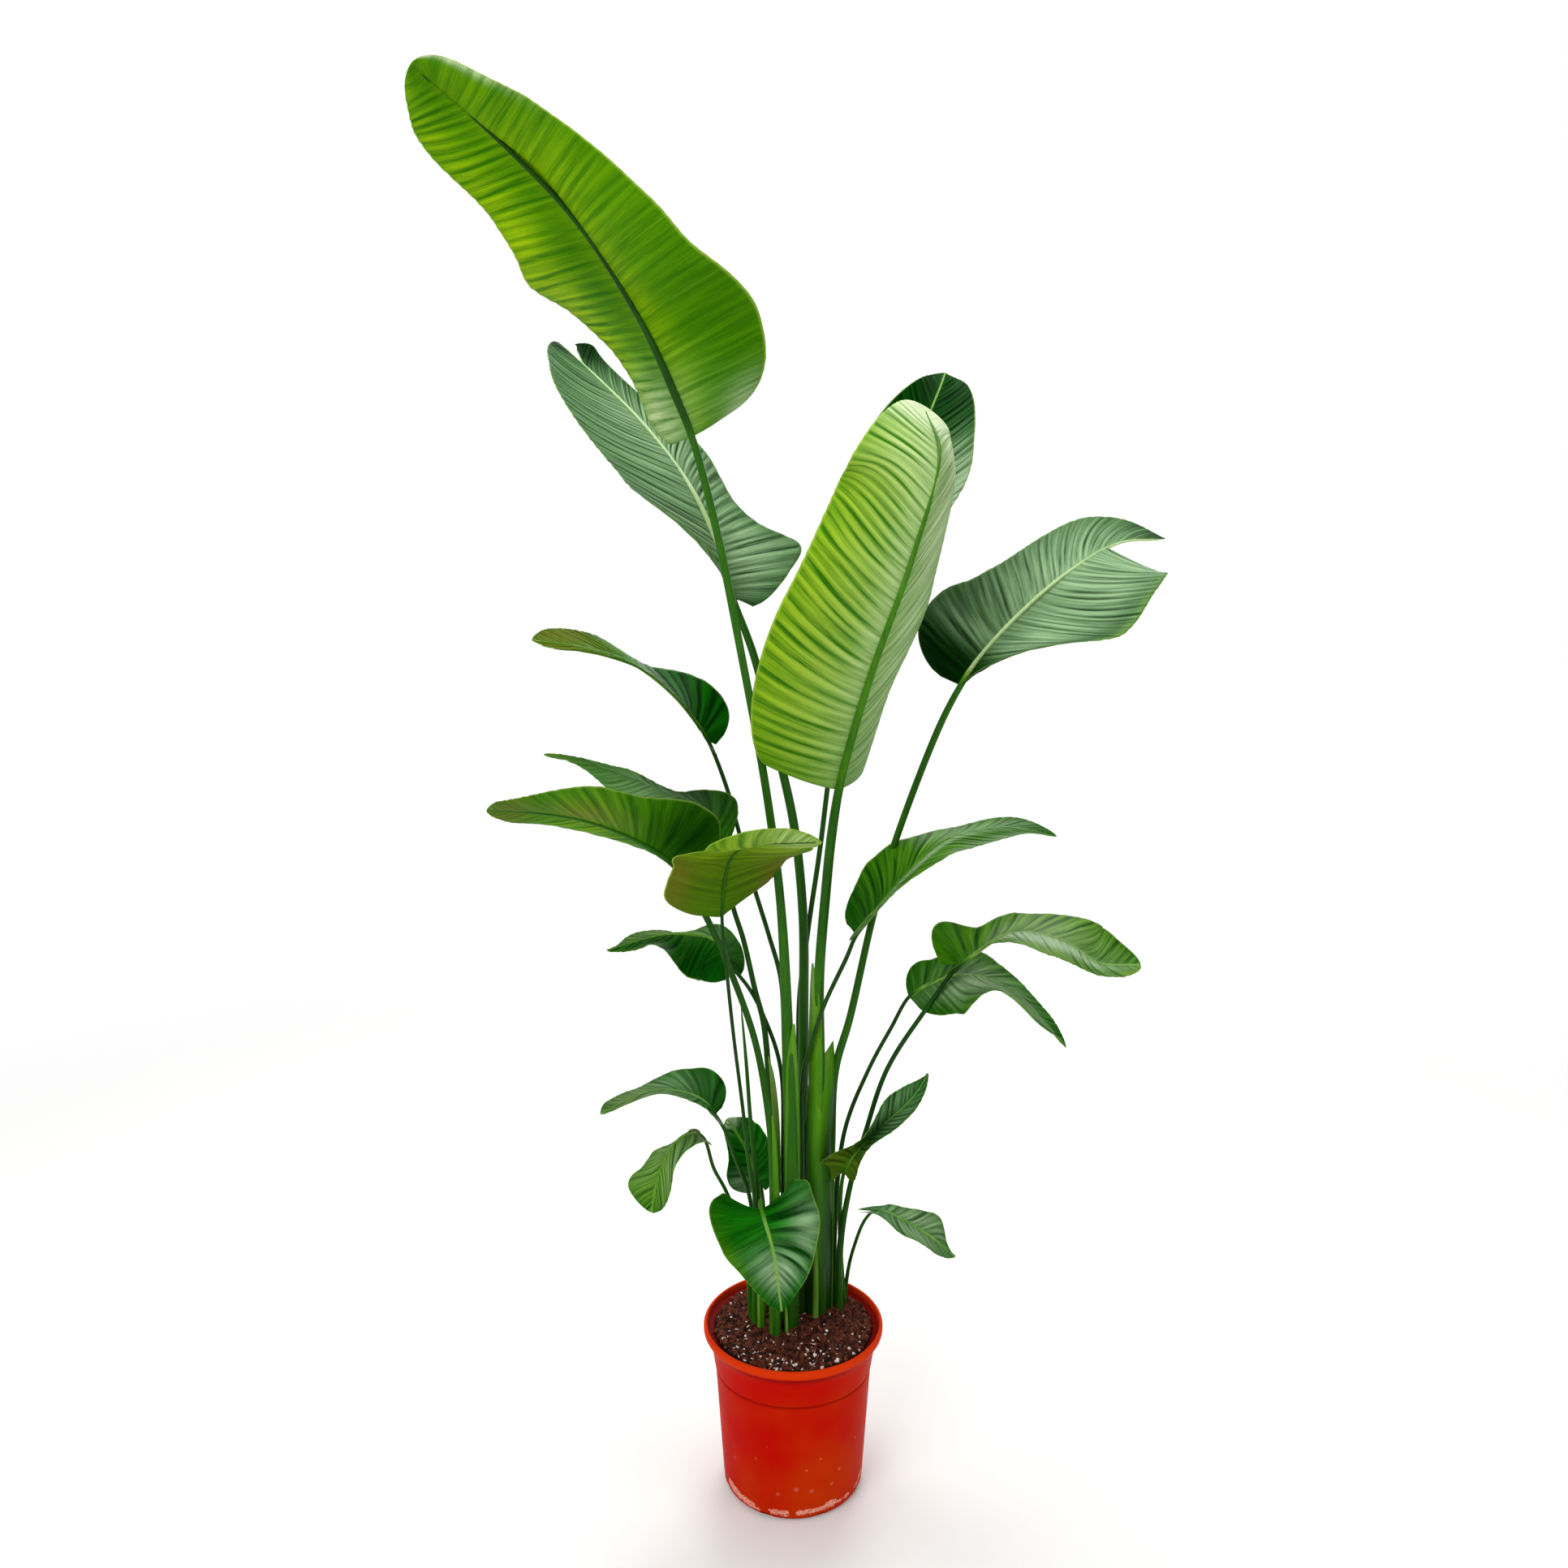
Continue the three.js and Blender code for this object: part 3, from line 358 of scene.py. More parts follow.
leaves = {
    "top": dict(
        stalk=[(-6, -14, 165, 7.5), (-3, -10, 430, 9.5), (-7, -20, 600, 8), (-16, -45, 796, 5.6),
               (-33, -70, 942, 5), (-62, -96, 1110, 4.6), (-92, -118, 1265, 4.6)],
        rib=[(-115, -130, 1355), (-155, -160, 1450), (-205, -195, 1530), (-260, -235, 1595),
             (-305, -270, 1625), (-338, -300, 1646), (-361, -314, 1662)],
        face=[(0.45, 0.8, 0.45), (0.45, 0.6, 0.65), (0.35, 0.4, 0.85)], half=(135, 140), lead=(-0.02, -0.02),
        lobe=(-0.01, 0.01), base=(0.5, 0.6), tip=(0.14, 0.16),
        shape=((89, 81, 86, 97, 103, 99, 95, 81, 69, 60, 54, 42, 36),
               (71, 78, 88, 111, 131, 119, 107, 77, 63, 57, 55, 54, 58)),
        fold=((70, -5, -5, 5), (30, 30, -10, -6)), finish="brightLeaf", pleat=(11, 0.5, 0.9),
        contrast=(0.35, 1), sweep=((0.15, 0.15), (0.2, 0.3)), tones=(0.5, 0.9, 1, 0.2), ribWide=1.15,
        waves=(1, 0.3, 0.3, 0.2),
        patches=[("glow", 1, 0.5, 0.8, 0.5, 0.35, 1), ("shade", 1, 0.4, 0.1, 0.35, 0.3, 0.45),
                 ("glow", -1, 0.75, 0.4, 0.25, 0.5, 0.4), ("glow", -1, 0.35, 0.1, 0.5, 0.18, 0.6),
                 ("shade", -1, 0.3, 0.75, 0.3, 0.5, 0.3), ("sheen", 1, 0.06, 0.6, 0.1, 0.6, 0.6),
                 ("sheen", -1, 0.02, 0.8, 0.06, 0.3, 0.6), ("shade", 0, 0.97, 0, 0.09, 0.8, 0.4),
                 ("sheen", -1, 1, 1, 0.12, 0.12, 1)]),
    "front_tall": dict(
        stalk=[(38, 20, 165, 7.5), (35, 22, 441, 9), (34, 10, 592, 7.5), (33, -14, 700, 6.6),
               (40, -38, 815, 6.2), (46, -55, 888, 6)],
        rib=[(53.5, -69, 949), (78, -100, 1054), (131, -125, 1213), (166, -100, 1331), (157, -15, 1411)],
        face=[(-0.4, 0.85, 0.35), (-0.4, 0.9, 0.15), (-0.4, 0.5, -0.8)], half=(95, 135), lead=(0.11, 0.11),
        lobe=(0, -0.035), base=(0.95, 0.74), tip=(0.06, 0.19),
        shape=((90, 90, 85, 90, 93, 88, 82, 73, 65, 57, 51, 44, 41),
               (90, 93, 97, 99, 98, 97, 95, 92, 86, 76, 58, 45, 41)),
        fold=((40, 35, 40, 10), (15, 50, 45, -10)), finish="brightLeaf", pleat=(12.5, 0.35, 1),
        contrast=(0.12, 1.35), sweep=((0.3, 0.5), (-0.35, 0.6)), tones=(0.6, 1, 0.9, 1.3), calmTip=0.16,
        waves=(1, 0.25, 0.3, 0.2),
        patches=[("glow", 1, 0.3, 0.6, 0.35, 0.6, 1.1), ("glow", 1, 0.75, 0.6, 0.2, 0.5, 0.8),
                 ("sheen", 1, 0.4, 0.1, 0.3, 0.12, 0.15), ("sheen", -1, 0.5, 0.6, 0.9, 0.9, 0.5),
                 ("sheen", 0, 1, 0, 0.08, 2, 2.3), ("sheen", -1, 0.7, 0.7, 0.3, 0.5, 0.4),
                 ("sheen", 1, 0.8, 0.4, 0.12, 0.5, 0.3), ("shade", 1, 0.3, 0.6, 0.4, 0.5, 0.3)]),
    "right_high": dict(
        stalk=[(49, 36, 165, 6), (51, 34, 456, 6.4), (56, 28, 560, 5.6), (75, 26, 632, 5),
               (106, 32, 772, 4.6), (134, 36, 869, 4.5), (187, 16, 1021, 4.4)],
        rib=[(211, 4, 1072), (249, 10, 1125), (326, 38, 1194), (408, 75, 1250), (497.5, 115, 1264)],
        face=[(-0.65, -0.55, 0.55), (-0.25, -0.7, 0.7), (0.3, -0.7, 0.65)], half=(115, 135),
        lead=(0.05, 0.06), lobe=(0.01, -0.01), base=(0.36, 0.21), tip=(0.17, 0),
        shape=((70, 84, 97, 103, 96, 97, 96, 92, 83, 69, 44, 22, 4),
               (46, 65, 87, 96, 103, 102, 98, 95, 84, 60, 35, 21, 10)),
        fold=((35, -5, -20, 20), (40, 5, 20, -30)), finish="deepLeaf", pleat=(10, 0.7, 0.7),
        contrast=(0.7, 0.9), sweep=((0.7, 0.7), (0.6, -0.15)), tones=(1.2, 1.1, 0.9, 3.6),
        torn=(1, 0.74, 0.775, 1, 1), ribSunk=-0.1,
        patches=[("shade", -1, 0.03, 0.6, 0.16, 0.9, 1), ("shade", 1, 0.03, 0.5, 0.12, 0.9, 0.9),
                 ("sheen", -1, 0.17, 0.45, 0.045, 0.5, 0.9), ("sheen", -1, 0.6, 0.4, 0.4, 0.9, 0.7),
                 ("sheen", 1, 0.6, 0.5, 0.4, 0.6, 0.6), ("sheen", 1, 0.2, 0.45, 0.12, 0.3, 0.5),
                 ("shade", 1, 0.22, 0.86, 0.2, 0.1, 0.6), ("glow", 1, 0.3, 1, 0.3, 0.06, 1.6)]),
    "back_left": dict(
        stalk=[(14, 50, 165, 7.2), (13, 47, 416, 7.2), (14, 42, 632, 6.8), (13, 42, 765, 6.2),
               (1, 48, 886, 6), (-22, 56, 990, 5.6), (-52, 63, 1110, 5.2)],
        rib=[(-79, 70, 1183), (-104, 90, 1262), (-150, 125, 1355), (-198, 160, 1415), (-250, 200, 1471),
             (-300, 238, 1521), (-335, 266, 1554)],
        face=[(0.75, -0.6, 0.35), (0.5, -0.45, 0.75), (0.3, -0.3, 0.9)], half=(135, 135),
        lead=(0.023, -0.055), lobe=(0.028, 0.035), base=(0.3, 0.32), tip=(0.17, 0.05),
        shape=((53, 80, 100, 101, 92, 90, 89, 88, 83, 73, 57, 43, 28),
               (51, 67, 90, 62, 47, 44, 43, 36, 27, 23, 21, 22, 30)),
        fold=((45, 0, 0, 10), (45, 10, 25, 35)), finish="deepLeaf", pleat=(11, 0.8, 0.8), contrast=(1.3, 1.2),
        sweep=((0.7, 0.7), (0.6, 0.6)), tones=(0.8, 1, 0.7, 3.7), torn=(1, 0.9, 0.97, 0.3, 1),
        reach=(1, 0.97), ribSunk=0,
        patches=[("sheen", -1, 0.45, 0.5, 0.6, 0.9, 0.3), ("sheen", 1, 0.5, 0.5, 0.35, 0.9, 0.65),
                 ("sheen", 1, 0.1, 0.4, 0.12, 0.5, 0.6), ("shade", 1, 0.95, 0.6, 0.08, 0.9, 1.2),
                 ("shade", -1, 0.99, 0.5, 0.05, 0.9, 1.4)]),
    "back_right": dict(
        stalk=[(27, 60, 165, 5.5), (16, 66, 420, 4.2), (8, 62, 633, 3.6), (20, 56, 744, 3.4),
               (35, 54, 851, 3.4), (56, 58, 1022, 3.4)],
        rib=[(73, 66, 1117), (109, 80, 1223), (151, 105, 1341), (183, 135, 1432), (200, 160, 1472),
             (210, 190, 1495)],
        face=[(-0.4, -0.9, 0.25), (-0.3, -0.9, 0.3), (-0.05, -0.6, 0.8)], half=(80, 90), lead=(0.05, 0.04),
        lobe=(0.07, 0.06), tip=(0.09, 0.1),
        shape=((75, 83, 90, 96, 100, 99, 95, 92, 85, 72, 55, 36, 15),
               (74, 82, 89, 95, 99, 100, 100, 93, 82, 72, 59, 37, 7)),
        fold=((20, 15, 10, 10), (25, 30, 5, 0)), pleat=(12, 0.7, 0.7), contrast=(1.3, 1.3),
        tones=(1.2, 0.9, 0.4, 1.7),
        patches=[("shade", 0, 0.85, 0.5, 0.3, 2, 1.1), ("sheen", 1, 0.5, 0.8, 0.2, 0.45, 1.5)]),
    "left_long": dict(
        stalk=[(-24, -27, 165, 8), (-26, -22, 430, 6), (-30, -24, 500, 5), (-45, -30, 601, 4.4),
               (-63, -38, 668, 4.2), (-109, -55, 788, 4)],
        rib=[(-143, -66, 851), (-172, -74, 877), (-229, -90, 908), (-285, -106, 924), (-358, -130, 933)],
        face=[(0.35, 0.7, 0.6), (0.15, 0.5, 0.85), (0, 0.35, 0.95)], half=(95, 80), lead=(0.05, 0.03),
        lobe=(0.12, 0.05), tip=(0.04, 0.17),
        shape=((78, 92, 103, 104, 104, 110, 112, 99, 84, 72, 61, 52, 43),
               (80, 91, 99, 98, 95, 99, 102, 96, 88, 83, 75, 59, 47)),
        fold=((35, 5, 5, 0), (40, 15, 5, -5)), pleat=(11, 0.6, 0.7), contrast=(0.6, 1),
        sweep=((0.7, 0.7), (0.6, 0.6)), tones=(1.4, 1.2, 0.6, 1),
        patches=[("shade", -1, 0.1, 0.5, 0.12, 0.9, 0.8), ("glow", 1, 0.5, 0.55, 0.25, 0.6, 0.8),
                 ("shade", -1, 0.3, 0.5, 0.3, 0.9, 0.3), ("glow", -1, 0.5, 0.4, 0.18, 0.6, 0.8),
                 ("dry", -1, 0.55, 0.3, 0.2, 0.4, 0.4), ("glow", 1, 0.5, 1, 0.5, 0.08, 0.7),
                 ("dry", 0, 0.9, 0.5, 0.12, 1, 0.45)]),
    "left_back": dict(
        stalk=[(-27, -5, 165, 5), (-24, 3, 432, 5), (-31, 4, 540, 4.5), (-39, 4, 632, 3.8),
               (-50, 6, 676, 3.6), (-65, 10, 742, 3.4), (-80, 14, 791, 3.2)],
        rib=[(-89, 20, 861), (-113, 24, 909), (-145, 28, 927), (-188, 34, 945), (-223, 40, 956),
             (-265, 46, 968), (-324, 55, 979)],
        face=[(0.6, 0.75, 0.25), (0.35, 0.5, 0.8), (0.2, 0.15, 0.95)], half=(52, 58), lead=(-0.04, 0.02),
        lobe=(-0.11, 0.07), base=(1, 0.3), tip=(0.1, 0.16),
        shape=((63, 89, 134, 124, 107, 100, 105, 92, 66, 59, 72, 92, 104),
               (70, 87, 100, 99, 95, 98, 100, 95, 85, 71, 55, 40, 25)),
        fold=((25, -25, -5, 0), (15, 10, -20, 15)), pleat=(10, 0.6, 0.6), sweep=((0.6, 0.6), (0.6, 0.6)),
        tones=(1.2, 0.9, 0.4, 1.2),
        patches=[("shade", 0, 0.2, 0.5, 0.2, 2, 0.6), ("sheen", 0, 0.5, 0.4, 0.25, 0.7, 0.4),
                 ("glow", 0, 0.95, 0.5, 0.1, 1, 0.7)]),
    "left_twisted": dict(
        stalk=[(-3, 8, 165, 4.5), (-2, 12, 444, 4.5), (-12, 24, 620, 3.4), (-17, 32, 686, 3.2),
               (-32, 38, 740, 3), (-54, 43, 812, 3), (-74, 44, 888, 2.8), (-88, 42, 940, 2.8)],
        rib=[(-109, 35, 998), (-139, 25, 1044), (-197, 12, 1096), (-254, -2, 1118), (-324, -20, 1129)],
        face=[(0.75, -0.5, 0.4), (0.55, -0.4, 0.7), (0.15, -0.05, 1)], half=(65, 70), lead=(0.1, 0.12),
        lobe=(0.07, 0.03), base=(0.3, 0.09), tip=(0.16, 0.14),
        shape=((27, 19, 13, 3, 3, 6, 27, 50, 61, 60, 49, 29, 4),
               (94, 99, 120, 139, 123, 103, 98, 88, 77, 74, 67, 56, 39)),
        fold=((25, 20, 15, -20), (25, -25, 5, 20)), pleat=(9, 0.9, 0.9), contrast=(1.6, 1.9),
        sweep=((0.6, 0.6), (0.6, 0.6)), tones=(1.2, 0.9, 0.3, 2),
        patches=[("shade", 0, 0.1, 0.5, 0.2, 1, 0.6), ("glow", 0, 0.75, 0.5, 0.3, 0.9, 0.5),
                 ("dry", 0, 0.85, 0.7, 0.2, 0.9, 0.6)]),
    "left_small": dict(
        stalk=[(-15, 5, 165, 4.5), (-13, 12, 430, 4), (-17, 17, 568, 3), (-40, 8, 643, 2.8),
               (-58, 2, 680, 2.6)],
        rib=[(-84, -4, 718), (-90, -8, 739), (-104, -12, 751), (-127, -16, 756), (-158, -22, 758),
             (-193, -28, 752), (-236, -34, 740)],
        face=[(0.95, -0.2, 0.2), (0, 0, 1), (-0.25, 0, 0.95)], half=(52, 46), lead=(0.03, 0.04),
        lobe=(0.13, 0.17), base=(0.19, 0.3), tip=(0.23, 0.19),
        shape=((94, 105, 110, 113, 114, 119, 116, 74, 52, 78, 72, 53, 38),
               (86, 91, 96, 100, 98, 93, 82, 71, 67, 64, 46, 12, 3)),
        fold=((-50, -50, -5, -5), (25, -15, 5, 15)), pleat=(10, 0.6, 0.6), contrast=(0.7, 0.8),
        sweep=((0.6, 0.6), (0.6, 0.6)), tones=(1.2, 0.8, 0.2, 2.2),
        patches=[("shade", -1, 0.4, 0.5, 0.6, 1, 0.6), ("glow", -1, 0.8, 0.8, 0.2, 0.3, 0.6),
                 ("sheen", 1, 0.6, 0.5, 0.4, 0.5, 0.3), ("glow", 1, 0.6, 0.6, 0.4, 0.5, 0.8)]),
    "front_cup": dict(
        stalk=[(-53, 2, 165, 5.5), (-51, -4, 391, 3), (-59, -14, 452, 2.6), (-65, -26, 523, 2.4),
               (-76, -48, 633, 2.3), (-83, -66, 719, 2.3)],
        rib=[(-88, -84, 795), (-85, -88, 836), (-78, -100, 866), (-67, -125, 884), (-44, -160, 898),
             (-9, -195, 905), (28, -225, 911)],
        face=[(-0.4, 0.9, 0.1), (0, 0.65, 0.75), (-0.05, 0.15, 1), (0.05, 0.25, 0.95)], half=(75, 85),
        lead=(0.04, 0.04), lobe=(-0.06, -0.01), base=(0.19, 0.3), tip=(0.15, 0.14),
        shape=((66, 85, 100, 102, 121, 125, 121, 110, 95, 77, 57, 37, 16),
               (76, 89, 87, 83, 90, 97, 93, 95, 108, 82, 51, 31, 16)),
        fold=((20, 10, -5, 5), (0, -15, 0, 40)), finish="brightLeaf", pleat=(12, 0.5, 0.5),
        contrast=(0.6, 0.6), sweep=((0.6, 0.6), (0.6, 0.6)), tones=(1.2, 0.8, 0.1, 0.8),
        patches=[("shade", 0, 0.15, 0.5, 0.3, 2, 0.6), ("glow", 0, 0.55, 0.4, 0.3, 0.6, 0.7),
                 ("sheen", -1, 0.85, 0.5, 0.2, 0.9, 0.2), ("sheen", 1, 0.9, 0.5, 0.12, 0.9, 0.3),
                 ("glow", 0, 0.9, 0.5, 0.2, 1, 0.7), ("dry", 0, 0.2, 0.9, 0.25, 0.25, 0.5),
                 ("dry", 0, 0.35, 0.4, 0.4, 0.7, 0.25)]),
    "right_middle": dict(
        stalk=[(14, 27, 165, 4.5), (11, 22, 440, 4), (13, 6, 560, 3.5), (22, -7, 605, 3.2), (39, -18, 663, 3),
               (67, -26, 728, 3)],
        rib=[(78, -30, 758), (145, -38, 843), (197, -42, 887), (270, -48, 899), (323, -56, 889)],
        face=[(-0.85, -0.05, 0.55), (-0.65, -0.15, 0.75), (0.3, -0.15, 0.95)], half=(70, 70),
        lead=(-0.05, -0.03), lobe=(0.01, 0.02), base=(0.5, 0.28), tip=(0.2, 0.19),
        shape=((106, 105, 112, 123, 119, 126, 122, 127, 122, 102, 74, 50, 33),
               (65, 81, 94, 102, 106, 102, 94, 81, 80, 71, 56, 28, 3)),
        fold=((15, 15, -15, 15), (20, 15, 0, 10)), pleat=(11, 0.5, 0.5), sweep=((0.9, 0.9), (0.9, 0.9)),
        tones=(1.2, 0.8, 0.2, 1.9),
        patches=[("shade", 0, 0.1, 0.5, 0.25, 2, 0.5), ("sheen", 0, 0.85, 0.7, 0.15, 0.3, 0.3),
                 ("glow", 0, 0.5, 0.5, 0.4, 1, 0.5), ("sheen", 1, 0.4, 0.12, 0.35, 0.1, 0.8)]),
    "right_lower": dict(
        stalk=[(66, 33, 165, 5.5), (64, 37, 300, 5), (76, 32, 390, 4), (96, 20, 475, 3.6), (123, 4, 570, 3.4),
               (170, -14, 656, 3.2)],
        rib=[(209, -26, 718), (255, -34, 754), (281, -38, 765), (322, -44, 761), (350, -50, 749),
             (380, -56, 730), (430, -64, 729)],
        face=[(-0.6, 0.2, 0.8), (0.2, -0.05, 1), (0, -0.15, 1)], half=(90, 70), lead=(0.06, -0.01),
        lobe=(0.08, 0.2), base=(0.14, 0.3), tip=(0.2, 0.12),
        shape=((129, 93, 58, 87, 122, 112, 94, 84, 83, 79, 70, 51, 36),
               (27, 9, 4, 31, 71, 96, 105, 92, 81, 65, 58, 58, 54)),
        fold=((50, 0, 20, 20), (20, 0, -5, 5)), pleat=(11, 0.6, 0.6), contrast=(0.6, 0.6),
        sweep=((0.4, 0.4), (0.4, 0.4)), tones=(1, 0.5, 0.1, 2.9),
        patches=[("sheen", 0, 0.6, 0.4, 0.3, 0.5, 0.25), ("glow", 0, 0.5, 0.5, 0.5, 1, 0.9),
                 ("sheen", 1, 0.5, 0.2, 0.35, 0.2, 1.3), ("glow", 1, 0.97, 0.8, 0.08, 0.5, 1)]),
    "right_drooping": dict(
        stalk=[(58, 48, 165, 5), (56, 46, 300, 4.2), (69, 40, 466, 3), (100, 24, 561, 2.7),
               (129, 14, 623, 2.6)],
        rib=[(151, 8, 667), (177, 4, 685), (229, -4, 700), (287, -12, 677), (350, -24, 609)],
        face=[(-0.55, -0.5, 0.7), (0.4, -0.3, 0.85), (0.75, -0.15, 0.65)], half=(50, 75), lead=(0.03, 0.12),
        lobe=(0, -0.01), base=(0.14, 0.17), tip=(0.16, 0.19),
        shape=((90, 94, 85, 101, 121, 133, 126, 117, 101, 86, 74, 56, 37),
               (69, 67, 89, 128, 93, 78, 69, 69, 73, 64, 45, 21, 3)),
        fold=((0, -5, -5, 15), (-25, 20, 10, 25)), pleat=(10, 0.6, 0.6), tones=(1, 0.4, 0, 2.7),
        patches=[("sheen", 0, 0.5, 0.4, 0.3, 0.5, 0.3), ("shade", 0, 0.05, 0.5, 0.12, 2, 0.3),
                 ("glow", 0, 0.4, 0.5, 0.4, 1, 0.4), ("sheen", 1, 0.55, 0.3, 0.4, 0.3, 0.6)]),
    "low_right_upright": dict(
        stalk=[(75, 46, 165, 4), (66, 50, 290, 3.2), (64, 32, 370, 2.8)],
        rib=[(68, 22, 419), (81, 16, 445), (100, 10, 471), (118, 6, 492), (142, 2, 516), (159, -1, 536),
             (176, -4, 567)],
        face=[(-0.5, -0.85, 0.05), (-0.35, -0.9, 0.2), (-0.3, -0.95, 0.1)], half=(42, 30), lead=(0.06, 0.02),
        lobe=(0.17, -0.01), base=(0.3, 0.38), tip=(0.19, 0.14),
        shape=((80, 92, 100, 99, 96, 96, 96, 92, 83, 70, 53, 26, 3),
               (96, 110, 122, 117, 112, 109, 106, 89, 75, 65, 50, 38, 23)),
        fold=((25, 85, 50, 45), (35, 70, 50, 40)), pleat=(9, 0.5, 0.5), tones=(1.2, 0.9, 0.6, 2.4),
        patches=[("dry", 0, 0.08, 0.6, 0.2, 0.6, 0.3), ("glow", 0, 0.15, 0.5, 0.2, 0.8, 0.6),
                 ("sheen", 0, 0.65, 0.5, 0.3, 0.6, 0.3)]),
    "low_right_small": dict(
        stalk=[(68, 59, 165, 3.5), (76, 50, 262, 2.6), (84, 36, 308, 2.4), (97, 22, 352, 2.3)],
        rib=[(108, 16, 368), (122, 10, 371), (152, 0, 360), (183, -10, 344), (213, -20, 322)],
        face=[(-0.15, 0.2, 0.95), (0.35, -0.3, 0.9), (0.4, -0.5, 0.75)], half=(33, 32), lead=(0.02, 0.13),
        lobe=(0.22, 0.12), base=(0.36, 0.61), tip=(0.16, 0.15),
        shape=((89, 86, 84, 85, 88, 94, 92, 97, 88, 57, 26, 11, 3),
               (94, 104, 120, 129, 114, 95, 89, 87, 86, 72, 54, 36, 14)),
        fold=((-5, 0, 25, 20), (15, 10, 15, 15)), pleat=(8, 0.4, 0.4), tones=(1.2, 0.6, 0.2, 2.2),
        patches=[("sheen", 0, 0.5, 0.5, 0.4, 0.6, 0.5), ("dry", 0, 0.6, 0.5, 0.5, 1, 0.1)]),
    "front_heart": dict(
        stalk=[(-42, -9, 165, 4.5), (-41, -15, 300, 3.6), (-42, -26, 385, 3.2), (-43, -37, 408, 3)],
        rib=[(-41.5, -46, 402), (-36, -58, 388), (-29, -66, 368), (-23, -71, 343), (-19, -73, 310),
             (-15, -72, 277)],
        face=[(-0.1, -0.75, 0.65), (-0.05, -1, 0.1), (-0.1, -1, -0.05)], half=(75, 70), lead=(-0.02, -0.01),
        lobe=(0.17, 0.25), base=(0.62, 0.55), tip=(0.17, 0.16),
        shape=((111, 94, 94, 98, 94, 85, 77, 66, 54, 41, 28, 19, 9),
               (110, 98, 95, 91, 89, 83, 75, 67, 58, 47, 36, 27, 20)),
        fold=((-5, 20, 30, 0), (5, 5, 5, 5)), pleat=(14, 0.9, 0.5), contrast=(1.9, 0.6),
        sweep=((0.8, 0.8), (0.7, 0.7)), tones=(1.6, 1.4, 1, 2.9), softEdge=1, ribWide=0.75, calmTip=0.6,
        patches=[("sheen", 0, 0.62, 0.1, 0.2, 0.5, 0.65), ("sheen", -1, 0.3, 0.75, 0.2, 0.3, 0.5),
                 ("shade", 0, 1, 0.2, 0.14, 1, 0.5), ("glow", 1, 0.4, 0.95, 0.3, 0.2, 0.35),
                 ("shade", -1, 0.05, 0.3, 0.1, 0.4, 0.4)]),
    "low_left": dict(
        stalk=[(-44, 29, 165, 4), (-58, 24, 380, 3), (-78, 12, 446, 2.7), (-90, 6, 484, 2.6)],
        rib=[(-102, 0, 509), (-119, -4, 531), (-146, -8, 544), (-177, -12, 548), (-213, -18, 538),
             (-250, -24, 520)],
        face=[(0.8, -0.3, 0.55), (0, 0.05, 1), (-0.45, 0, 0.9)], half=(44, 47), lead=(0.06, 0.06),
        lobe=(0.07, 0.01), base=(0.3, 0.34), tip=(0.16, 0.07),
        shape=((75, 86, 95, 99, 100, 98, 95, 91, 85, 74, 60, 43, 25),
               (86, 100, 110, 101, 102, 98, 89, 85, 93, 95, 78, 61, 47)),
        fold=((30, 15, 10, 5), (25, 10, -5, 10)), pleat=(9, 0.5, 0.5), sweep=((0.6, 0.6), (0.6, 0.6)),
        tones=(1.2, 0.8, 0.3, 2.2),
        patches=[("sheen", 0, 0.6, 0.5, 0.4, 0.6, 0.35), ("shade", 1, 0.15, 0.5, 0.25, 1, 0.4),
                 ("dry", 0, 0.8, 0.5, 0.3, 1, 0.25)]),
    "low_left_hanging": dict(
        stalk=[(-55, 17, 165, 3.6), (-66, 8, 330, 3), (-89, -10, 409, 2.6), (-104, -22, 446, 2.5)],
        rib=[(-115, -30, 490), (-127, -38, 501), (-145, -48, 498), (-163, -58, 478), (-173, -64, 448),
             (-180, -68, 408)],
        face=[(0.55, 0.35, 0.75), (-0.75, -0.4, 0.5), (-0.75, -0.65, 0.2)], half=(40, 42), lead=(0.09, 0),
        lobe=(0.03, 0.02), base=(0.3, 0.58), tip=(0.16, 0.21),
        shape=((75, 86, 95, 96, 95, 96, 95, 91, 85, 77, 65, 46, 25),
               (80, 52, 32, 31, 45, 64, 75, 66, 69, 90, 94, 80, 60)),
        fold=((-5, 5, 0, 10), (10, -25, 25, 35)), pleat=(9, 0.5, 0.5), sweep=((0.9, 0.9), (0.9, 0.9)),
        tones=(1.2, 0.8, 0.3, 2.3),
        patches=[("sheen", 0, 0.4, 0.6, 0.4, 0.6, 0.3), ("glow", 0, 0.6, 0.4, 0.4, 0.9, 0.9),
                 ("dry", 0, 0.06, 0.6, 0.1, 0.6, 0.6)]),
    "low_back": dict(
        stalk=[(-33, 33, 165, 3.8), (-36, 40, 300, 3.2)],
        rib=[(-45, 54, 385), (-54, 60, 408), (-66, 66, 435), (-81, 72, 458), (-91, 76, 472)],
        face=[(-0.45, -0.9, 0.1), (-0.2, -1, 0.1), (-0.05, -0.95, 0.25)], half=(41, 40), lead=(0.07, 0.11),
        lobe=(0.06, 0.07), tip=(0.16, 0.17),
        shape=((90, 98, 100, 95, 82, 70, 62, 55, 48, 42, 36, 30, 25),
               (76, 80, 86, 100, 111, 108, 98, 91, 79, 73, 54, 36, 22)),
        fold=((10, 20, 20, 25), (30, 25, 10, 20)), pleat=(10, 0.5, 0.5), tones=(1.2, 0.9, 0.6, 2),
        patches=[("sheen", 0, 1, 0.5, 0.12, 1, 1.4), ("shade", 0, 0.3, 0.5, 0.3, 2, 0.3),
                 ("sheen", -1, 0.1, 0.7, 0.15, 0.4, 0.5)]),
}
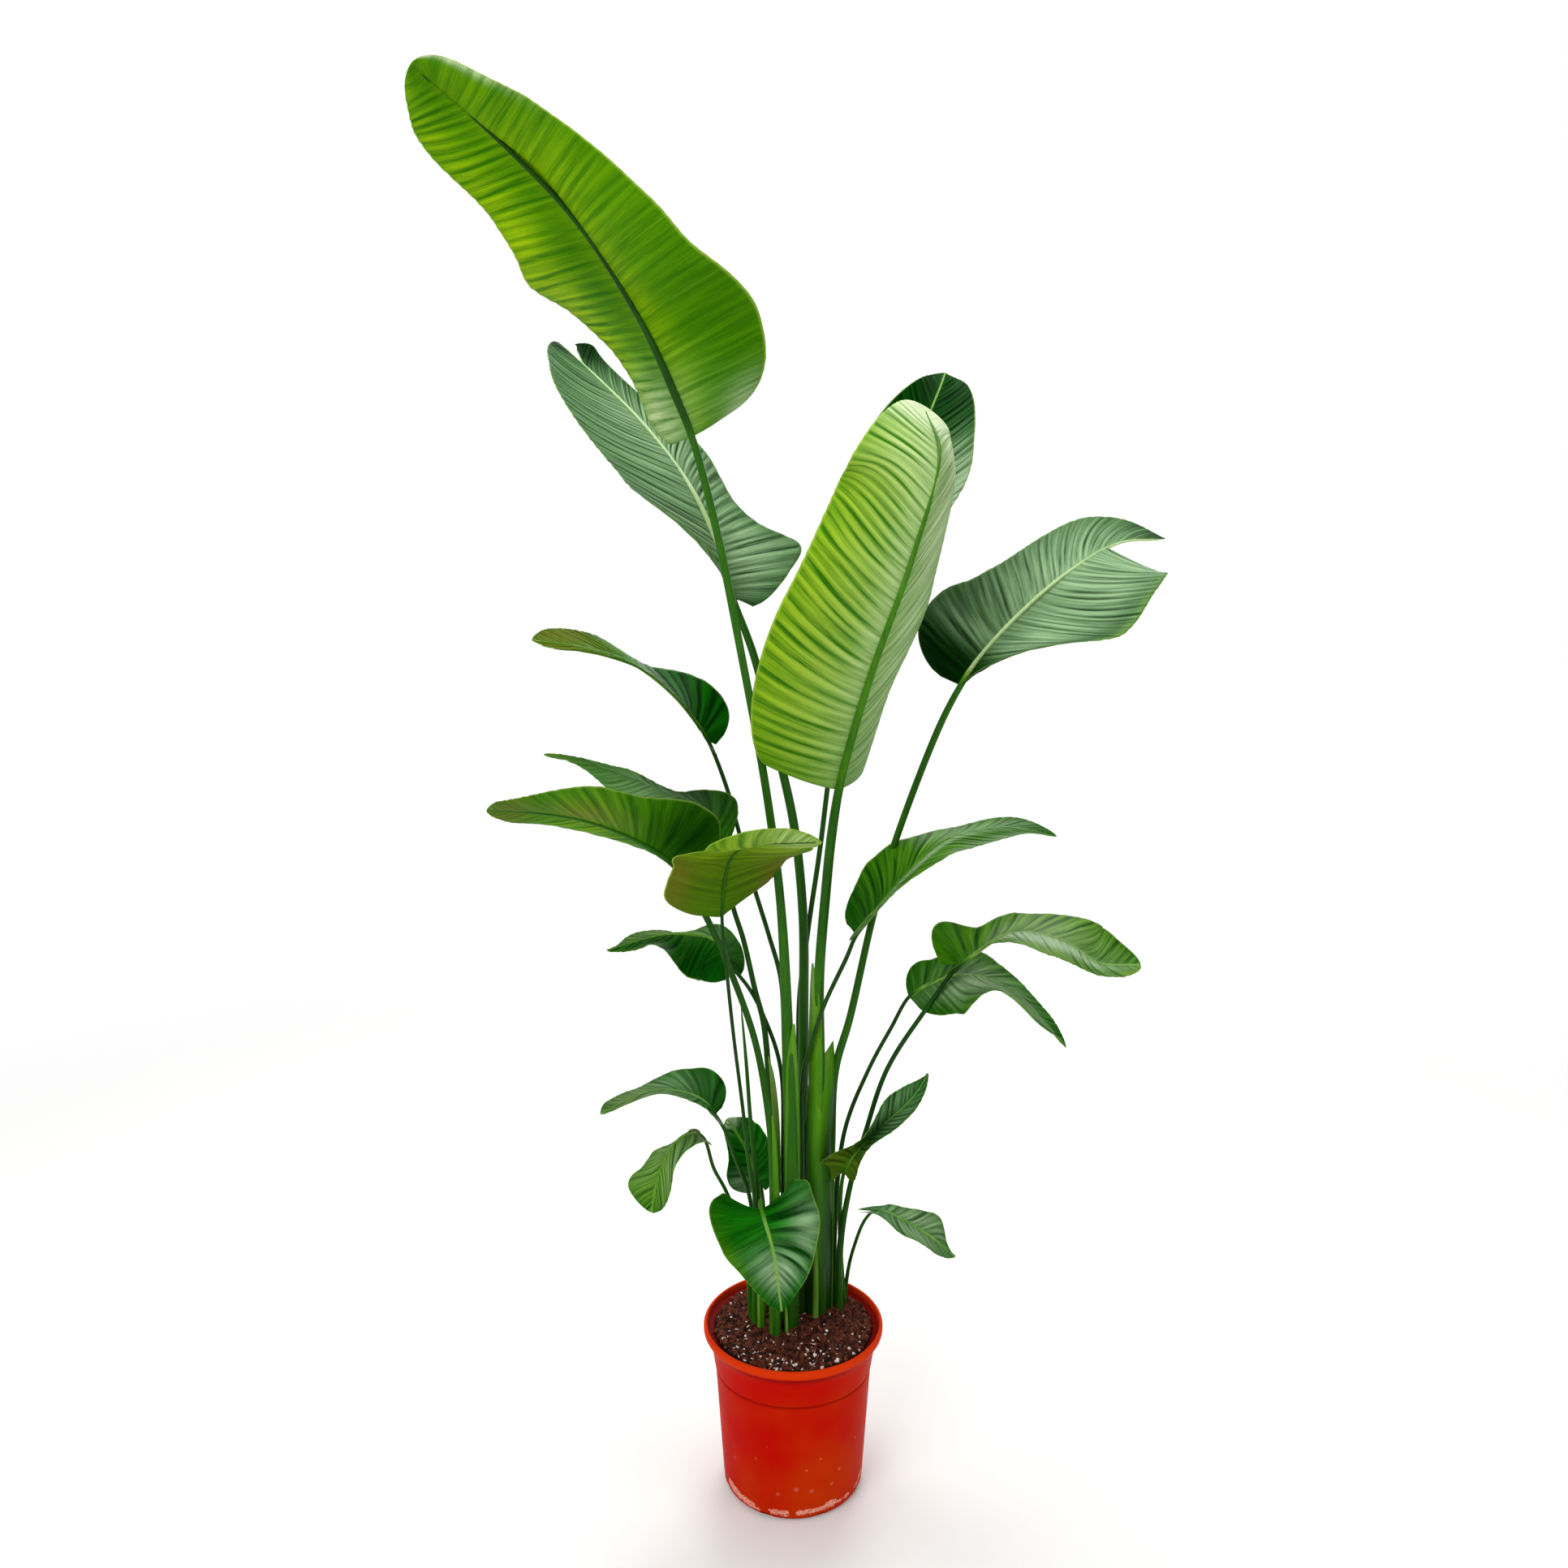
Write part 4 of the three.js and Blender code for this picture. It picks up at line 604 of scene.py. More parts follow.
# What all blades share: marginDraw is how late the veins turn to the tip, thin how much thinner the margin
# is, calmBase and calmRib where the pleats begin, and waves the lengths of what they are made of.
bladeForm = {"thickness": 0.8, "thin": 0.4, "tipWidth": 2.0, "curl": 25, "marginDraw": 1.4, "baseRound": 0.12,
             "rowStep": 1.7, "columns": 22, "calmBase": 0.06, "calmRib": 0.3, "waves": (1.0, 0.62, 1.47, 2.6),
             "patchMost": 1.6}


def quarterRound(x):
    return np.sqrt(np.maximum(1 - (1 - np.minimum(x, 1)) ** 2, 0))


# the rib's own axes: up out of the upper side, and to the right
def ribAxes(leaf, curve, u):
    way = curveWay(curve, u)
    faces = np.asarray(leaf["face"], float)
    x = np.clip(u / curve["length"], 0, 1) * (len(faces) - 1)
    i = np.minimum(x.astype(int), len(faces) - 2)
    t = (x - i)[..., None]
    up = faces[i] * (1 - t) + faces[i + 1] * t
    up = unit(up - (up * way).sum(-1, keepdims=True) * way)
    return up, np.cross(way, up)


# a point of the blade's middle: q from base to tip, s from rib to margin
def bladeMiddle(leaf, curve, q, s, side):
    half = 0 if side < 0 else 1
    length = curve["length"] * leaf["reach"][half]
    start = q * length
    lobe = leaf["lobe"][half] * (1 - q) ** 6
    margin = length * (q - lobe + leaf["lead"][half] * 4 * q * (1 - q))
    ends = leaf["base"][half] + (1 - leaf["base"][half]) * quarterRound(q / bladeForm["baseRound"])
    if leaf["tip"][half]:
        ends = ends * quarterRound((1 - q) / leaf["tip"][half])
    shape = np.array(leaf["shape"][half]) / 100
    width = np.maximum(leaf["half"][half] * alongStations(shape, q) * ends, bladeForm["tipWidth"])
    u = start + (margin - start) * s ** bladeForm["marginDraw"]
    curl = math.radians(bladeForm["curl"])
    first = np.radians(alongStations(leaf["fold"][half], q)) - curl / 2
    out = (np.sin(first + curl * s) - np.sin(first)) / curl
    lift = (np.cos(first) - np.cos(first + curl * s)) / curl
    up, right = ribAxes(leaf, curve, u)
    return curveAt(curve, u) + right * (side * width * out)[..., None] + up * (width * lift)[..., None]


# pleats between the veins: uneven waves along the blade, flat at the rib and softer at the margin
def pleatWave(leaf, run, s, seed):
    dice = np.random.default_rng(seed)
    spacing = leaf["pleat"][0]
    wave = 0
    for factor, weight in zip(bladeForm["waves"], leaf["waves"]):
        turn = dice.uniform(0, 2 * math.pi)
        bend = dice.uniform(-1.1, 1.1)
        wave = wave + weight * np.sin(2 * math.pi * run / (spacing * factor) + turn + bend * s)
    return wave / 1.5


def patchField(leaf, kind, q, s, side):
    field = np.zeros_like(q)
    for name, edge, where, out, spanAlong, spanAcross, strength in leaf["patches"]:
        if name == kind:
            across = side * s - edge * out if edge else s - out
            field += strength * np.exp(-((q - where) / spanAlong) ** 2 - (across / spanAcross) ** 2)
    return np.clip(field, 0, bladeForm["patchMost"])


# where a half has torn from the rib near the tip, its inner edge starts further out
def tornShare(leaf, q, s, side):
    edge, start, end, width, bend = leaf["torn"]
    if edge != side:
        return s
    gap = width * np.clip((q - start) / (end - start), 0, 1) ** bend
    return gap + (1 - gap) * s


# a thin closed sheet round a grid of middle points; side -1 is for a grid that runs to the left
def closedSheet(mid, normal, half, side=1):
    high, wide = mid.shape[:2]
    rows, columns = high - 1, wide - 1
    count = high * wide
    points = np.concatenate([(mid + normal * half).reshape(-1, 3), (mid - normal * half).reshape(-1, 3)])
    a = np.arange(count).reshape(high, wide)[:-1, :-1].ravel()
    quads = np.stack([a, a + 1, a + wide + 1, a + wide], -1)[:, ::side]
    loop = np.concatenate([np.arange(columns), np.arange(rows) * wide + columns,
                           rows * wide + np.arange(columns, 0, -1), np.arange(rows, 0, -1) * wide])
    ahead = np.roll(loop, -1)
    rim = np.stack([loop, loop + count, ahead + count, ahead], -1)[:, ::side]
    return points, np.concatenate([quads, quads[:, ::-1] + count, rim])


# one half of a blade as a thin closed sheet, with what its finish reads
def halfBlade(leaf, curve, side, seed):
    half = 0 if side < 0 else 1
    t = np.linspace(0, 1, int(curve["length"] / bladeForm["rowStep"]) + 1)
    q = 0.6 * t + 0.4 * (1 - np.cos(np.pi * t)) / 2
    if leaf["torn"][0] == side:
        q = q * leaf["torn"][2]
    q, s = np.meshgrid(q, np.linspace(0, 1, bladeForm["columns"] + 1), indexing="ij")
    low, high = leaf["sweep"][half]
    veins = 1 - (1 - q) ** (1 + (low + (high - low) * q) * s)
    mid = bladeMiddle(leaf, curve, veins, tornShare(leaf, veins, s, side), side)
    normal = unit(np.cross(np.gradient(mid, axis=1) * side, np.gradient(mid, axis=0)) + 1e-12)
    wave = pleatWave(leaf, q * curve["length"], s, seed)
    calm = np.clip((1 - q) / leaf["calmTip"], 0, 1) ** 2 * np.minimum(q / bladeForm["calmBase"], 1)
    fade = np.minimum(s / bladeForm["calmRib"], 1) ** 0.7 * (1 - leaf["softEdge"] * s ** 3) * calm
    mid = mid + normal * (leaf["pleat"][1 + half] * wave * fade)[..., None]
    thick = bladeForm["thickness"] / 2 * (1 - bladeForm["thin"] * s[..., None])
    points, faces = closedSheet(mid, normal, thick, side)
    across = np.linalg.norm(np.diff(mid, axis=1), axis=-1).cumsum(axis=1)
    across = np.concatenate([np.zeros((len(t), 1)), across], axis=1)
    # pleat carries the painted light and shade of the pleats, scaled by contrast and turned over for the
    # lower face
    fields = {"pleat": np.clip(wave, -1, 1) * fade * leaf["contrast"][half], "share": s}
    for kind in ("glow", "sheen", "shade", "dry"):
        fields[kind] = patchField(leaf, kind, veins, s, side)
    fields = {name: np.tile(value.ravel(), 2) for name, value in fields.items()}
    fields["pleat"][q.size:] *= -1
    fields["under"] = np.repeat([0.0, 1.0], q.size)
    place = np.stack([side * across.ravel(), (q * curve["length"]).ravel()], -1) * mm
    return points, faces, fields, np.tile(place, (2, 1))


def setFields(mesh, fields):
    for name, values in fields.items():
        kind, key = ("FLOAT_VECTOR", "vector") if values.ndim == 2 else ("FLOAT", "value")
        made = mesh.attributes.new(name, kind, "POINT")
        made.data.foreach_set(key, values.astype(np.float32).ravel())


def meshFrom(name, points, faces, fields=None, place=None):
    mesh = bpy.data.meshes.new(name)
    mesh.from_pydata((points * mm).tolist(), [], faces)
    setFields(mesh, fields or {})
    if place is not None:
        corners = np.zeros(len(mesh.loops), np.int32)
        mesh.loops.foreach_get("vertex_index", corners)
        uv = place[corners].astype(np.float32).ravel()
        mesh.uv_layers.new(name="bladeMap").data.foreach_set("uv", uv)
    mesh.shade_smooth()
    return mesh


def addPiece(mesh, finish=None):
    if finish:
        mesh.materials.append(finish)
    return addToScene(bpy.data.objects.new(mesh.name, mesh))


def setOnFrame(piece, node):
    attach(piece, "root")
    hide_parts(node)


def makeBlade(name, leaf, seed):
    curve = drawCurve(leaf["rib"])
    points, faces, fields, place = halfBlade(leaf, curve, -1, seed)
    more = halfBlade(leaf, curve, 1, seed + 50)
    faces = np.concatenate([faces, more[1] + len(points)]).tolist()
    points = np.concatenate([points, more[0]])
    fields = {key: np.concatenate([value, more[2][key]]) for key, value in fields.items()}
    mesh = meshFrom("blade." + name, points, faces, fields, np.concatenate([place, more[3]]))
    return addPiece(mesh, finishes[leaf["finish"]])


def newTree(name, inputs):
    tree = bpy.data.node_groups.new(name, "GeometryNodeTree")
    tree.interface.new_socket("Geometry", in_out="INPUT", socket_type="NodeSocketGeometry")
    for label, kind, value in inputs:
        socket = tree.interface.new_socket(label, in_out="INPUT", socket_type="NodeSocket" + kind)
        if value is not None:
            socket.default_value = value
    tree.interface.new_socket("Geometry", in_out="OUTPUT", socket_type="NodeSocketGeometry")
    return tree, tree.nodes.new("NodeGroupInput").outputs


# closes a tree: its copies are made real, given their finish and sent out
def endTree(tree, shape, finish):
    real = addNode(tree, "GeometryNodeRealizeInstances", {"Geometry": shape})
    skin = addNode(tree, "GeometryNodeSetMaterial", {"Geometry": real.outputs[0], "Material": finish})
    addNode(tree, "NodeGroupOutput", {0: skin.outputs[0]})
    return tree


def namedInput(tree, name, kind="FLOAT"):
    return addNode(tree, "GeometryNodeInputNamedAttribute", {"Name": name}, data_type=kind).outputs[0]


# runs a tree on a source mesh and keeps the plain mesh that comes out
def grow(source, tree, **settings):
    modifier = source.modifiers.new(tree.name, "NODES")
    modifier.node_group = tree
    for item in tree.interface.items_tree:
        if item.in_out == "INPUT" and item.name.lower() in settings:
            modifier[item.identifier] = settings[item.name.lower()]
    dg = bpy.context.evaluated_depsgraph_get()
    seen = source.evaluated_get(dg)
    made = bpy.data.meshes.new_from_object(seen, preserve_all_data_layers=True, depsgraph=dg)
    source.modifiers.remove(modifier)
    made.name = source.name
    old = source.data
    source.data = made
    bpy.data.meshes.remove(old)
    return source


# a stalk: a line of points with a radius and an upper side, swept with a grooved round section
def stalkTree():
    tree, start = newTree("sweptStalk", [("Step", "Float", 0.006), ("Sides", "Int", 16),
                                         ("Groove", "Float", 0.2), ("Finish", "Material", None)])
    line = addNode(tree, "GeometryNodeMeshToCurve", {"Mesh": start["Geometry"]})
    even = addNode(tree, "GeometryNodeResampleCurve", {"Curve": line.outputs[0], "Length": start["Step"]},
                   mode="LENGTH")
    up = namedInput(tree, "up", "FLOAT_VECTOR")
    turn = addNode(tree, "GeometryNodeSetCurveNormal", {"Curve": even.outputs[0], "Normal": up}, mode="FREE")
    ring = addNode(tree, "GeometryNodeCurvePrimitiveCircle", {"Resolution": start["Sides"], "Radius": 1.0})
    place = addNode(tree, "GeometryNodeInputPosition").outputs[0]
    side = axes(tree, place)["X"]
    cut = scaled(tree, remap(tree, side, 0.72, 1.0), start["Groove"])
    pull = vectorCalc(tree, "SCALE", {0: place, "Scale": calc(tree, "SUBTRACT", 1.0, cut)})
    section = addNode(tree, "GeometryNodeSetPosition", {"Geometry": ring.outputs[0], "Position": pull})
    section = addNode(tree, "GeometryNodeStoreNamedAttribute",
                      {"Geometry": section.outputs[0], "Name": "facing", "Value": side}, data_type="FLOAT")
    tube = addNode(tree, "GeometryNodeCurveToMesh",
                   {"Curve": turn.outputs[0], "Profile Curve": section.outputs[0],
                    "Scale": namedInput(tree, "thick"), "Fill Caps": True})
    smooth = addNode(tree, "GeometryNodeSetShadeSmooth", {"Geometry": tube.outputs[0]})
    return endTree(tree, smooth.outputs[0], start["Finish"])


# The rib starts at ribShare of the stalk's radius and ends at ribTip, with a knot at each of these shares of
# the leaf. A stalk's tones are set at these heights, and turn into the rib's tone over ribBlend.
stalkForm = {"step": 0.005, "sides": 18, "groove": 0.16, "fineness": 260, "ribShare": 0.9, "ribTip": 1.0,
             "ribKnots": (0.0, 0.1, 0.3, 0.55, 0.8, 0.97), "toneHeights": (190, 330, 620), "ribBlend": 25}
sweptStalk = stalkTree()


def sweep(name, line, radius, upWay, tone, form):
    mesh = bpy.data.meshes.new(name)
    mesh.from_pydata((line * mm).tolist(), [(k, k + 1) for k in range(len(line) - 1)], [])
    setFields(mesh, {"thick": radius * mm, "up": upWay, "tone": tone})
    return grow(addPiece(mesh), sweptStalk, step=form["step"], sides=form["sides"], groove=form["groove"],
                finish=finishes["stalkSkin"])


# from under the soil, up the stalk and on along the rib to the leaf's tip
def makeStalk(name, leaf):
    rib = drawCurve(leaf["rib"])
    stalk = np.array(leaf["stalk"], float)
    shares = np.array(stalkForm["ribKnots"])
    radii = np.interp(shares, [0, 1], [stalk[-1, 3] * stalkForm["ribShare"], stalkForm["ribTip"]])
    radii[1:] *= leaf["ribWide"]
    up, _ = ribAxes(leaf, rib, shares * rib["length"])
    under = curveAt(rib, shares * rib["length"]) - up * (radii * leaf["ribSunk"])[:, None]
    curve = drawCurve(np.vstack([stalk[:, :3], under]))
    marks = curve["knots"]
    u = np.linspace(0, curve["length"], stalkForm["fineness"])
    line = curveAt(curve, u)
    radius = np.interp(u, marks, np.concatenate([stalk[:, 3], radii]))
    upKnots = np.vstack([np.repeat(up[:1], len(stalk), axis=0), up])
    upWay = np.stack([np.interp(u, marks, upKnots[:, k]) for k in range(3)], -1)
    way = curveWay(curve, u)
    upWay = unit(upWay - (upWay * way).sum(-1, keepdims=True) * way)
    onRib = np.clip((u - marks[len(stalk)]) / stalkForm["ribBlend"], 0, 1)
    tone = np.interp(line[:, 2], stalkForm["toneHeights"], leaf["tones"][:3])
    tone = tone * (1 - onRib) + leaf["tones"][3] * onRib
    return sweep("stalk." + name, line, radius, upWay, tone, stalkForm)


for number, (name, leaf) in enumerate(leaves.items()):
    leaf = {**plainLeaf, **leaf}
    for piece in (makeBlade(name, leaf, 100 + number), makeStalk(name, leaf)):
        setOnFrame(piece, "leaf_" + name)
print("leaves grown:", len(leaves))

# Where a stalk's base opens into a sheet that holds the next one. left and right are its two edges from the
# foot up, in millimetres; belly is how far it bows out towards "bow"; tones run from foot to top as on the
# stalks, and across is how much darker its edges are painted, as painted shade.
sheaths = {
    "wide": dict(leaf="right_high", bow=(-0.15, -1, 0), belly=13.5, tones=(0.5, 1.4, 2.6), across=1.1,
        left=[(17, 22, 205), (17, 20, 300), (16, 19, 420), (16, 17, 490), (21, 15, 548), (31, 14, 572)],
        right=[(52, 31, 205), (53, 29, 300), (52, 28, 420), (53, 25, 490), (56, 24, 556), (53, 24, 602)]),
    "upper": dict(leaf="front_tall", bow=(-0.5, -1, 0), belly=3, tones=(1.9, 2.0, 2.4), across=0.5,
        left=[(22, 24, 430), (21, 18, 500), (20, 8, 600), (21, 2, 650), (22, -4, 690), (23.5, -9, 716)],
        right=[(37, 20, 430), (38, 10, 500), (38, -2, 600), (36, -10, 650), (31, -17, 690), (25, -15, 718)]),
    "front": dict(leaf="top", bow=(0.2, -1, 0), belly=1.5, tones=(0.7, 1.8, 2.4), across=0.5,
        left=[(-12, -22, 205), (-11, -18, 420), (-11, -23, 520), (-9, -28, 590), (-2, -31, 641)],
        right=[(7, -10, 205), (9, -6, 420), (8, -12, 520), (5, -18, 590), (1.5, -30, 643)]),
    "left": dict(leaf="left_long", bow=(0.4, -1, 0), belly=1.2, tones=(0.9, 1.7, 2.3), across=0.5,
        left=[(-27, -36, 205), (-27, -31, 360), (-27, -29.5, 430), (-28, -30, 490), (-28.5, -31, 520)],
        right=[(-17, -33, 205), (-17, -27, 360), (-19, -25, 430), (-22.5, -26, 490), (-27, -31, 522)]),
    "brown": dict(leaf="left_back", bow=(0.3, -1, 0), belly=1, tones=(1.4, 2.9, 3.2), across=0.5,
        left=[(-26, -3, 400), (-27, -3.5, 500), (-31, -2, 560), (-33, -1, 588)],
        right=[(-17, 4, 400), (-18.5, 3, 500), (-25, 2, 560), (-32.5, -1, 590)]),
    "dryRight": dict(leaf="front_tall", bow=(-0.2, -1, 0), belly=2, tones=(2.6, 2.4, 1.8), across=0.3,
        left=[(27, 11, 205), (27, 10, 250), (27.5, 9, 300), (29, 9, 345)],
        right=[(34, 8, 205), (34, 7, 250), (33, 7, 300), (31, 8.5, 350)]),
    "dryFront": dict(leaf="top", bow=(0, -1, 0), belly=1.2, tones=(2.3, 2.5, 2.2), across=0.2,
        left=[(-11, -22.5, 205), (-11, -22.5, 235), (-11.5, -21.5, 262)],
        right=[(-7, -23.5, 205), (-7, -23.5, 235), (-10, -22.5, 265)]),
    "dryLeft": dict(leaf="front_heart", bow=(-0.6, -1, 0), belly=1.2, tones=(2.2, 2.2, 2), across=0.2,
        left=[(-48, -9, 205), (-48, -10, 240), (-47.5, -12, 290)],
        right=[(-43, -15, 205), (-43.5, -16, 240), (-46, -15, 292)]),
}
sheathForm = {"rows": 70, "columns": 14, "thickness": 0.7, "closing": 0.22}


def makeSheath(name, sheath):
    t = np.linspace(0, 1, sheathForm["rows"] + 1)
    s = np.linspace(0, 1, sheathForm["columns"] + 1)
    edges = [drawCurve(sheath[side]) for side in ("left", "right")]
    left, right = [curveAt(edge, t * edge["length"])[:, None] for edge in edges]
    bow = unit(np.array(sheath["bow"], float))
    top = np.minimum(1, (1 - t) / sheathForm["closing"]) ** 0.6
    belly = sheath["belly"] * (0.15 + 0.85 * top)
    mid = left * (1 - s)[None, :, None] + right * s[None, :, None]
    mid = mid + bow * (belly[:, None] * np.sin(np.pi * s) ** 0.8)[..., None]
    normal = unit(np.cross(np.gradient(mid, axis=1), np.gradient(mid, axis=0)) + 1e-12)
    points, faces = closedSheet(mid, normal, sheathForm["thickness"] / 2)
    # the edges are painted darker than the middle, as painted shade
    tone = np.interp(t, [0, 0.5, 1], sheath["tones"])[:, None] - sheath["across"] * np.abs(s - 0.55)[None] * 2
    fields = {"tone": np.tile(tone.ravel(), 2), "facing": np.full(len(points), -1.0)}
    return addPiece(meshFrom("sheath." + name, points, faces.tolist(), fields), finishes["stalkSkin"])


for name, sheath in sheaths.items():
    setOnFrame(makeSheath(name, sheath), "leaf_" + sheath["leaf"])

# the young leaf, rolled into a spear: (x, y, z, radius), and its tones at shares of its length
spear = {"line": [(-42, 17, 165, 3.6), (-47, 9, 385, 3.2), (-57, 10, 500, 2.8), (-62, 10, 575, 2.4),
                  (-69, 8, 660, 1)],
         "up": (0.2, -1.0, 0.0), "toneAt": (0, 0.4, 0.8, 1), "tones": (1.2, 0.9, 0.8, 1.6),
         "step": 0.004, "sides": 18, "groove": 0.22, "fineness": 220}


def makeSpear():
    knots = np.array(spear["line"], float)
    curve = drawCurve(knots[:, :3])
    u = np.linspace(0, curve["length"], spear["fineness"])
    radius = np.interp(u, curve["knots"], knots[:, 3])
    radius[-12:] *= np.linspace(1, 0.3, 12)
    upWay = np.tile(spear["up"], (len(u), 1))
    tone = np.interp(u / curve["length"], spear["toneAt"], spear["tones"])
    return sweep("spear.rolled", curveAt(curve, u), radius, upWay, tone, spear)


setOnFrame(makeSpear(), "leaf_young_spear")
print("sheaths and spear done")

# Millimetres; turned from a profile, then notched round the foot. lip goes up outside, over and down, as
# (radius, height, rounding). Angles are degrees, 0 towards the camera. A scuff is its angle, height, spread
# round and up, and strength, a speck its angle, height, size and strength, a painted shadow line its height,
# width and strength. The lip's painted highlight begins between two heights, and the inside's painted shade
# between two heights and two radii, up and outwards.
pot = {"footRadius": 93, "taper": 0.066, "wall": 1.8, "floor": 2.6, "padRadius": 30, "recess": 1.2,
       "ringInner": 74, "foot": 87, "corner": 6, "bandHeight": 166, "bandStep": 1.2,
       "lip": [(108, 186, 10), (110.8, 200, 8), (115, 208.6, 5), (118.9, 212.6, 2), (120, 215, 1.2),
               (120, 221.6, 2.4), (117.7, 224, 1.6), (115.4, 223.2, 1.2), (114.6, 216, 1.4)],
       "throat": 212.8, "segments": 192, "longest": 6, "sharp": 32, "slots": 8, "slotWidth": 16,
       "slotHeight": 9, "slotDepth": 6.4, "drainHoles": 4, "drainRadius": 6, "drainRing": 55,
       "colour": "#b80900", "warm": "#bd3200", "bright": "#cf3406", "deep": "#6c0803", "chalk": "#edb09c",
       "rub": "#d56a55", "grimeAndShade": "#4a140c", "grimeAndShadeHigh": 11, "roughness": 0.42, "gloss": 0.015,
       "brightFrom": (210.5, 216.5), "deepFrom": ((200, 213), (115.2, 113.8)),
       "shadows": [(165, 3.2, 0.6), (209.5, 4.5, 0.55)],
       "scuffs": [(-61, 19, 5, 4.2, 1), (-54, 15, 7, 4.2, 1), (-46, 14, 7, 3.6, 1), (-38, 12, 7, 3.3, 0.95),
                  (-31, 11, 5, 2.4, 0.8), (-15, 12, 6, 2.7, 0.9), (-8, 12, 6, 2.7, 0.9), (5, 13, 4, 3, 0.9),
                  (13, 14, 7, 2.7, 1), (23, 15, 7, 3, 1), (31, 17, 6, 3, 1), (38, 13, 6, 2.4, 0.7),
                  (48, 15, 4, 3, 0.9), (62, 17, 6, 2.4, 0.8), (72, 20, 6, 3.6, 0.9), (95, 14, 12, 3, 0.9),
                  (128, 13, 16, 2.4, 0.8), (160, 15, 10, 3, 1), (184, 13, 14, 3, 0.8), (214, 14, 12, 3.6, 1),
                  (242, 16, 14, 3, 0.9), (276, 15, 10, 3, 1)],
       "specks": [(9.9, 75, 2.2, 0.8), (20.4, 88, 1.8, 0.7), (37.6, 63, 3, 0.7), (-29.7, 84, 1.5, 0.6),
                  (-45, 197, 1.2, 0.7), (2, 48, 4, 0.5), (14, 44, 3, 0.5), (-52, 66, 2.5, 0.5),
                  (31, 46, 3, 0.45), (-12, 40, 3.5, 0.4), (-20, 106, 1.5, 0.5), (55, 92, 2, 0.5),
                  (120, 60, 3, 0.6), (170, 90, 2, 0.6), (215, 50, 3, 0.6), (250, 75, 2, 0.6)]}


def potOuter(z):
    return pot["footRadius"] + pot["taper"] * z


def potInner(z):
    return potOuter(z) - pot["wall"]


# rounds the corners of an open profile of (radius, height, rounding)
def softProfile(corners, steps=5):
    line = []
    for k, (r, z, soft) in enumerate(corners):
        here = np.array([r, z], float)
        if soft <= 0 or k in (0, len(corners) - 1):
            line.append(here)
            continue
        before = np.array(corners[k - 1][:2]) - here
        after = np.array(corners[k + 1][:2]) - here
        reach = min(soft, 0.45 * np.linalg.norm(before), 0.45 * np.linalg.norm(after))
        a = here + unit(before) * reach
        b = here + unit(after) * reach
        for t in np.linspace(0, 1, steps):
            line.append((1 - t) ** 2 * a + 2 * t * (1 - t) * here + t ** 2 * b)
    return np.array(line)


# adds points where a profile's steps are longer than a given length, and more of them near the foot
def finerProfile(line, longest, footHeight=34):
    made = [line[0]]
    for a, b in zip(line[:-1], line[1:]):
        cap = longest if ((a + b) / 2)[1] > footHeight else longest / 3
        count = max(1, math.ceil(np.linalg.norm(b - a) / cap))
        made += [a + (b - a) * k / count for k in range(1, count + 1)]
    return np.array(made)


# turns a profile that starts and ends on the axis into a closed shape
def turnProfile(line, segments):
    angle = np.arange(segments) * 2 * math.pi / segments
    body = line[1:-1]
    ring = np.stack([body[:, None, 0] * np.cos(angle), body[:, None, 0] * np.sin(angle),
                     np.repeat(body[:, 1:], segments, axis=1)], -1).reshape(-1, 3)
    points = np.vstack([ring, [[0, 0, line[0, 1]], [0, 0, line[-1, 1]]]])
    faces = []
    count = len(body)
    for k in range(segments):
        n = (k + 1) % segments
        faces.append((count * segments, n, k))
        faces += [(r * segments + k, r * segments + n, (r + 1) * segments + n, (r + 1) * segments + k)
                  for r in range(count - 1)]
        faces.append(((count - 1) * segments + k, (count - 1) * segments + n, count * segments + 1))
    return points, faces


def cutFrom(piece, cutter):
    modifier = piece.modifiers.new("cut", "BOOLEAN")
    modifier.operation = "DIFFERENCE"
    modifier.object = cutter
    modifier.solver = "EXACT"
    dg = bpy.context.evaluated_depsgraph_get()
    made = bpy.data.meshes.new_from_object(piece.evaluated_get(dg), depsgraph=dg)
    piece.modifiers.remove(modifier)
    piece.data = made
    bpy.data.objects.remove(cutter)


# one shape for all that is cut away: the notches round the foot and the drain holes
def footCutter():
    shape = bmesh.new()
    wide = pot["slotWidth"] / 2
    high = pot["slotHeight"]
    outline = [(-wide, -3), (wide, -3), (wide, high - 4), (wide - 1.4, high - 1.3), (wide - 5, high),
               (5 - wide, high), (1.4 - wide, high - 1.3), (-wide, high - 4)]
    for k in range(pot["slots"]):
        turn = (k + 0.5) * 2 * math.pi / pot["slots"]
        ways = math.cos(turn), math.sin(turn)
        ends = []
        for r in (pot["foot"] + 12, pot["footRadius"] - pot["slotDepth"]):
            ends.append([shape.verts.new(((r * ways[0] - a * ways[1]) * mm, (r * ways[1] + a * ways[0]) * mm,
                                          z * mm)) for a, z in outline])
        shape.faces.new(ends[0])
        shape.faces.new(ends[1][::-1])
        for i in range(len(outline)):
            n = (i + 1) % len(outline)
            shape.faces.new((ends[0][i], ends[1][i], ends[1][n], ends[0][n]))
    for k in range(pot["drainHoles"]):
        turn = k * 2 * math.pi / pot["drainHoles"]
        place = (pot["drainRing"] * math.cos(turn) * mm, pot["drainRing"] * math.sin(turn) * mm)
        hole = bmesh.ops.create_cone(shape, cap_ends=True, segments=32, radius1=pot["drainRadius"] * mm,
                                     radius2=pot["drainRadius"] * mm, depth=12 * mm)
        bmesh.ops.translate(shape, verts=hole["verts"], vec=(*place, 1 * mm))
    bmesh.ops.recalc_face_normals(shape, faces=shape.faces)
    mesh = bpy.data.meshes.new("footCutter")
    shape.to_mesh(mesh)
    shape.free()
    return addPiece(mesh)


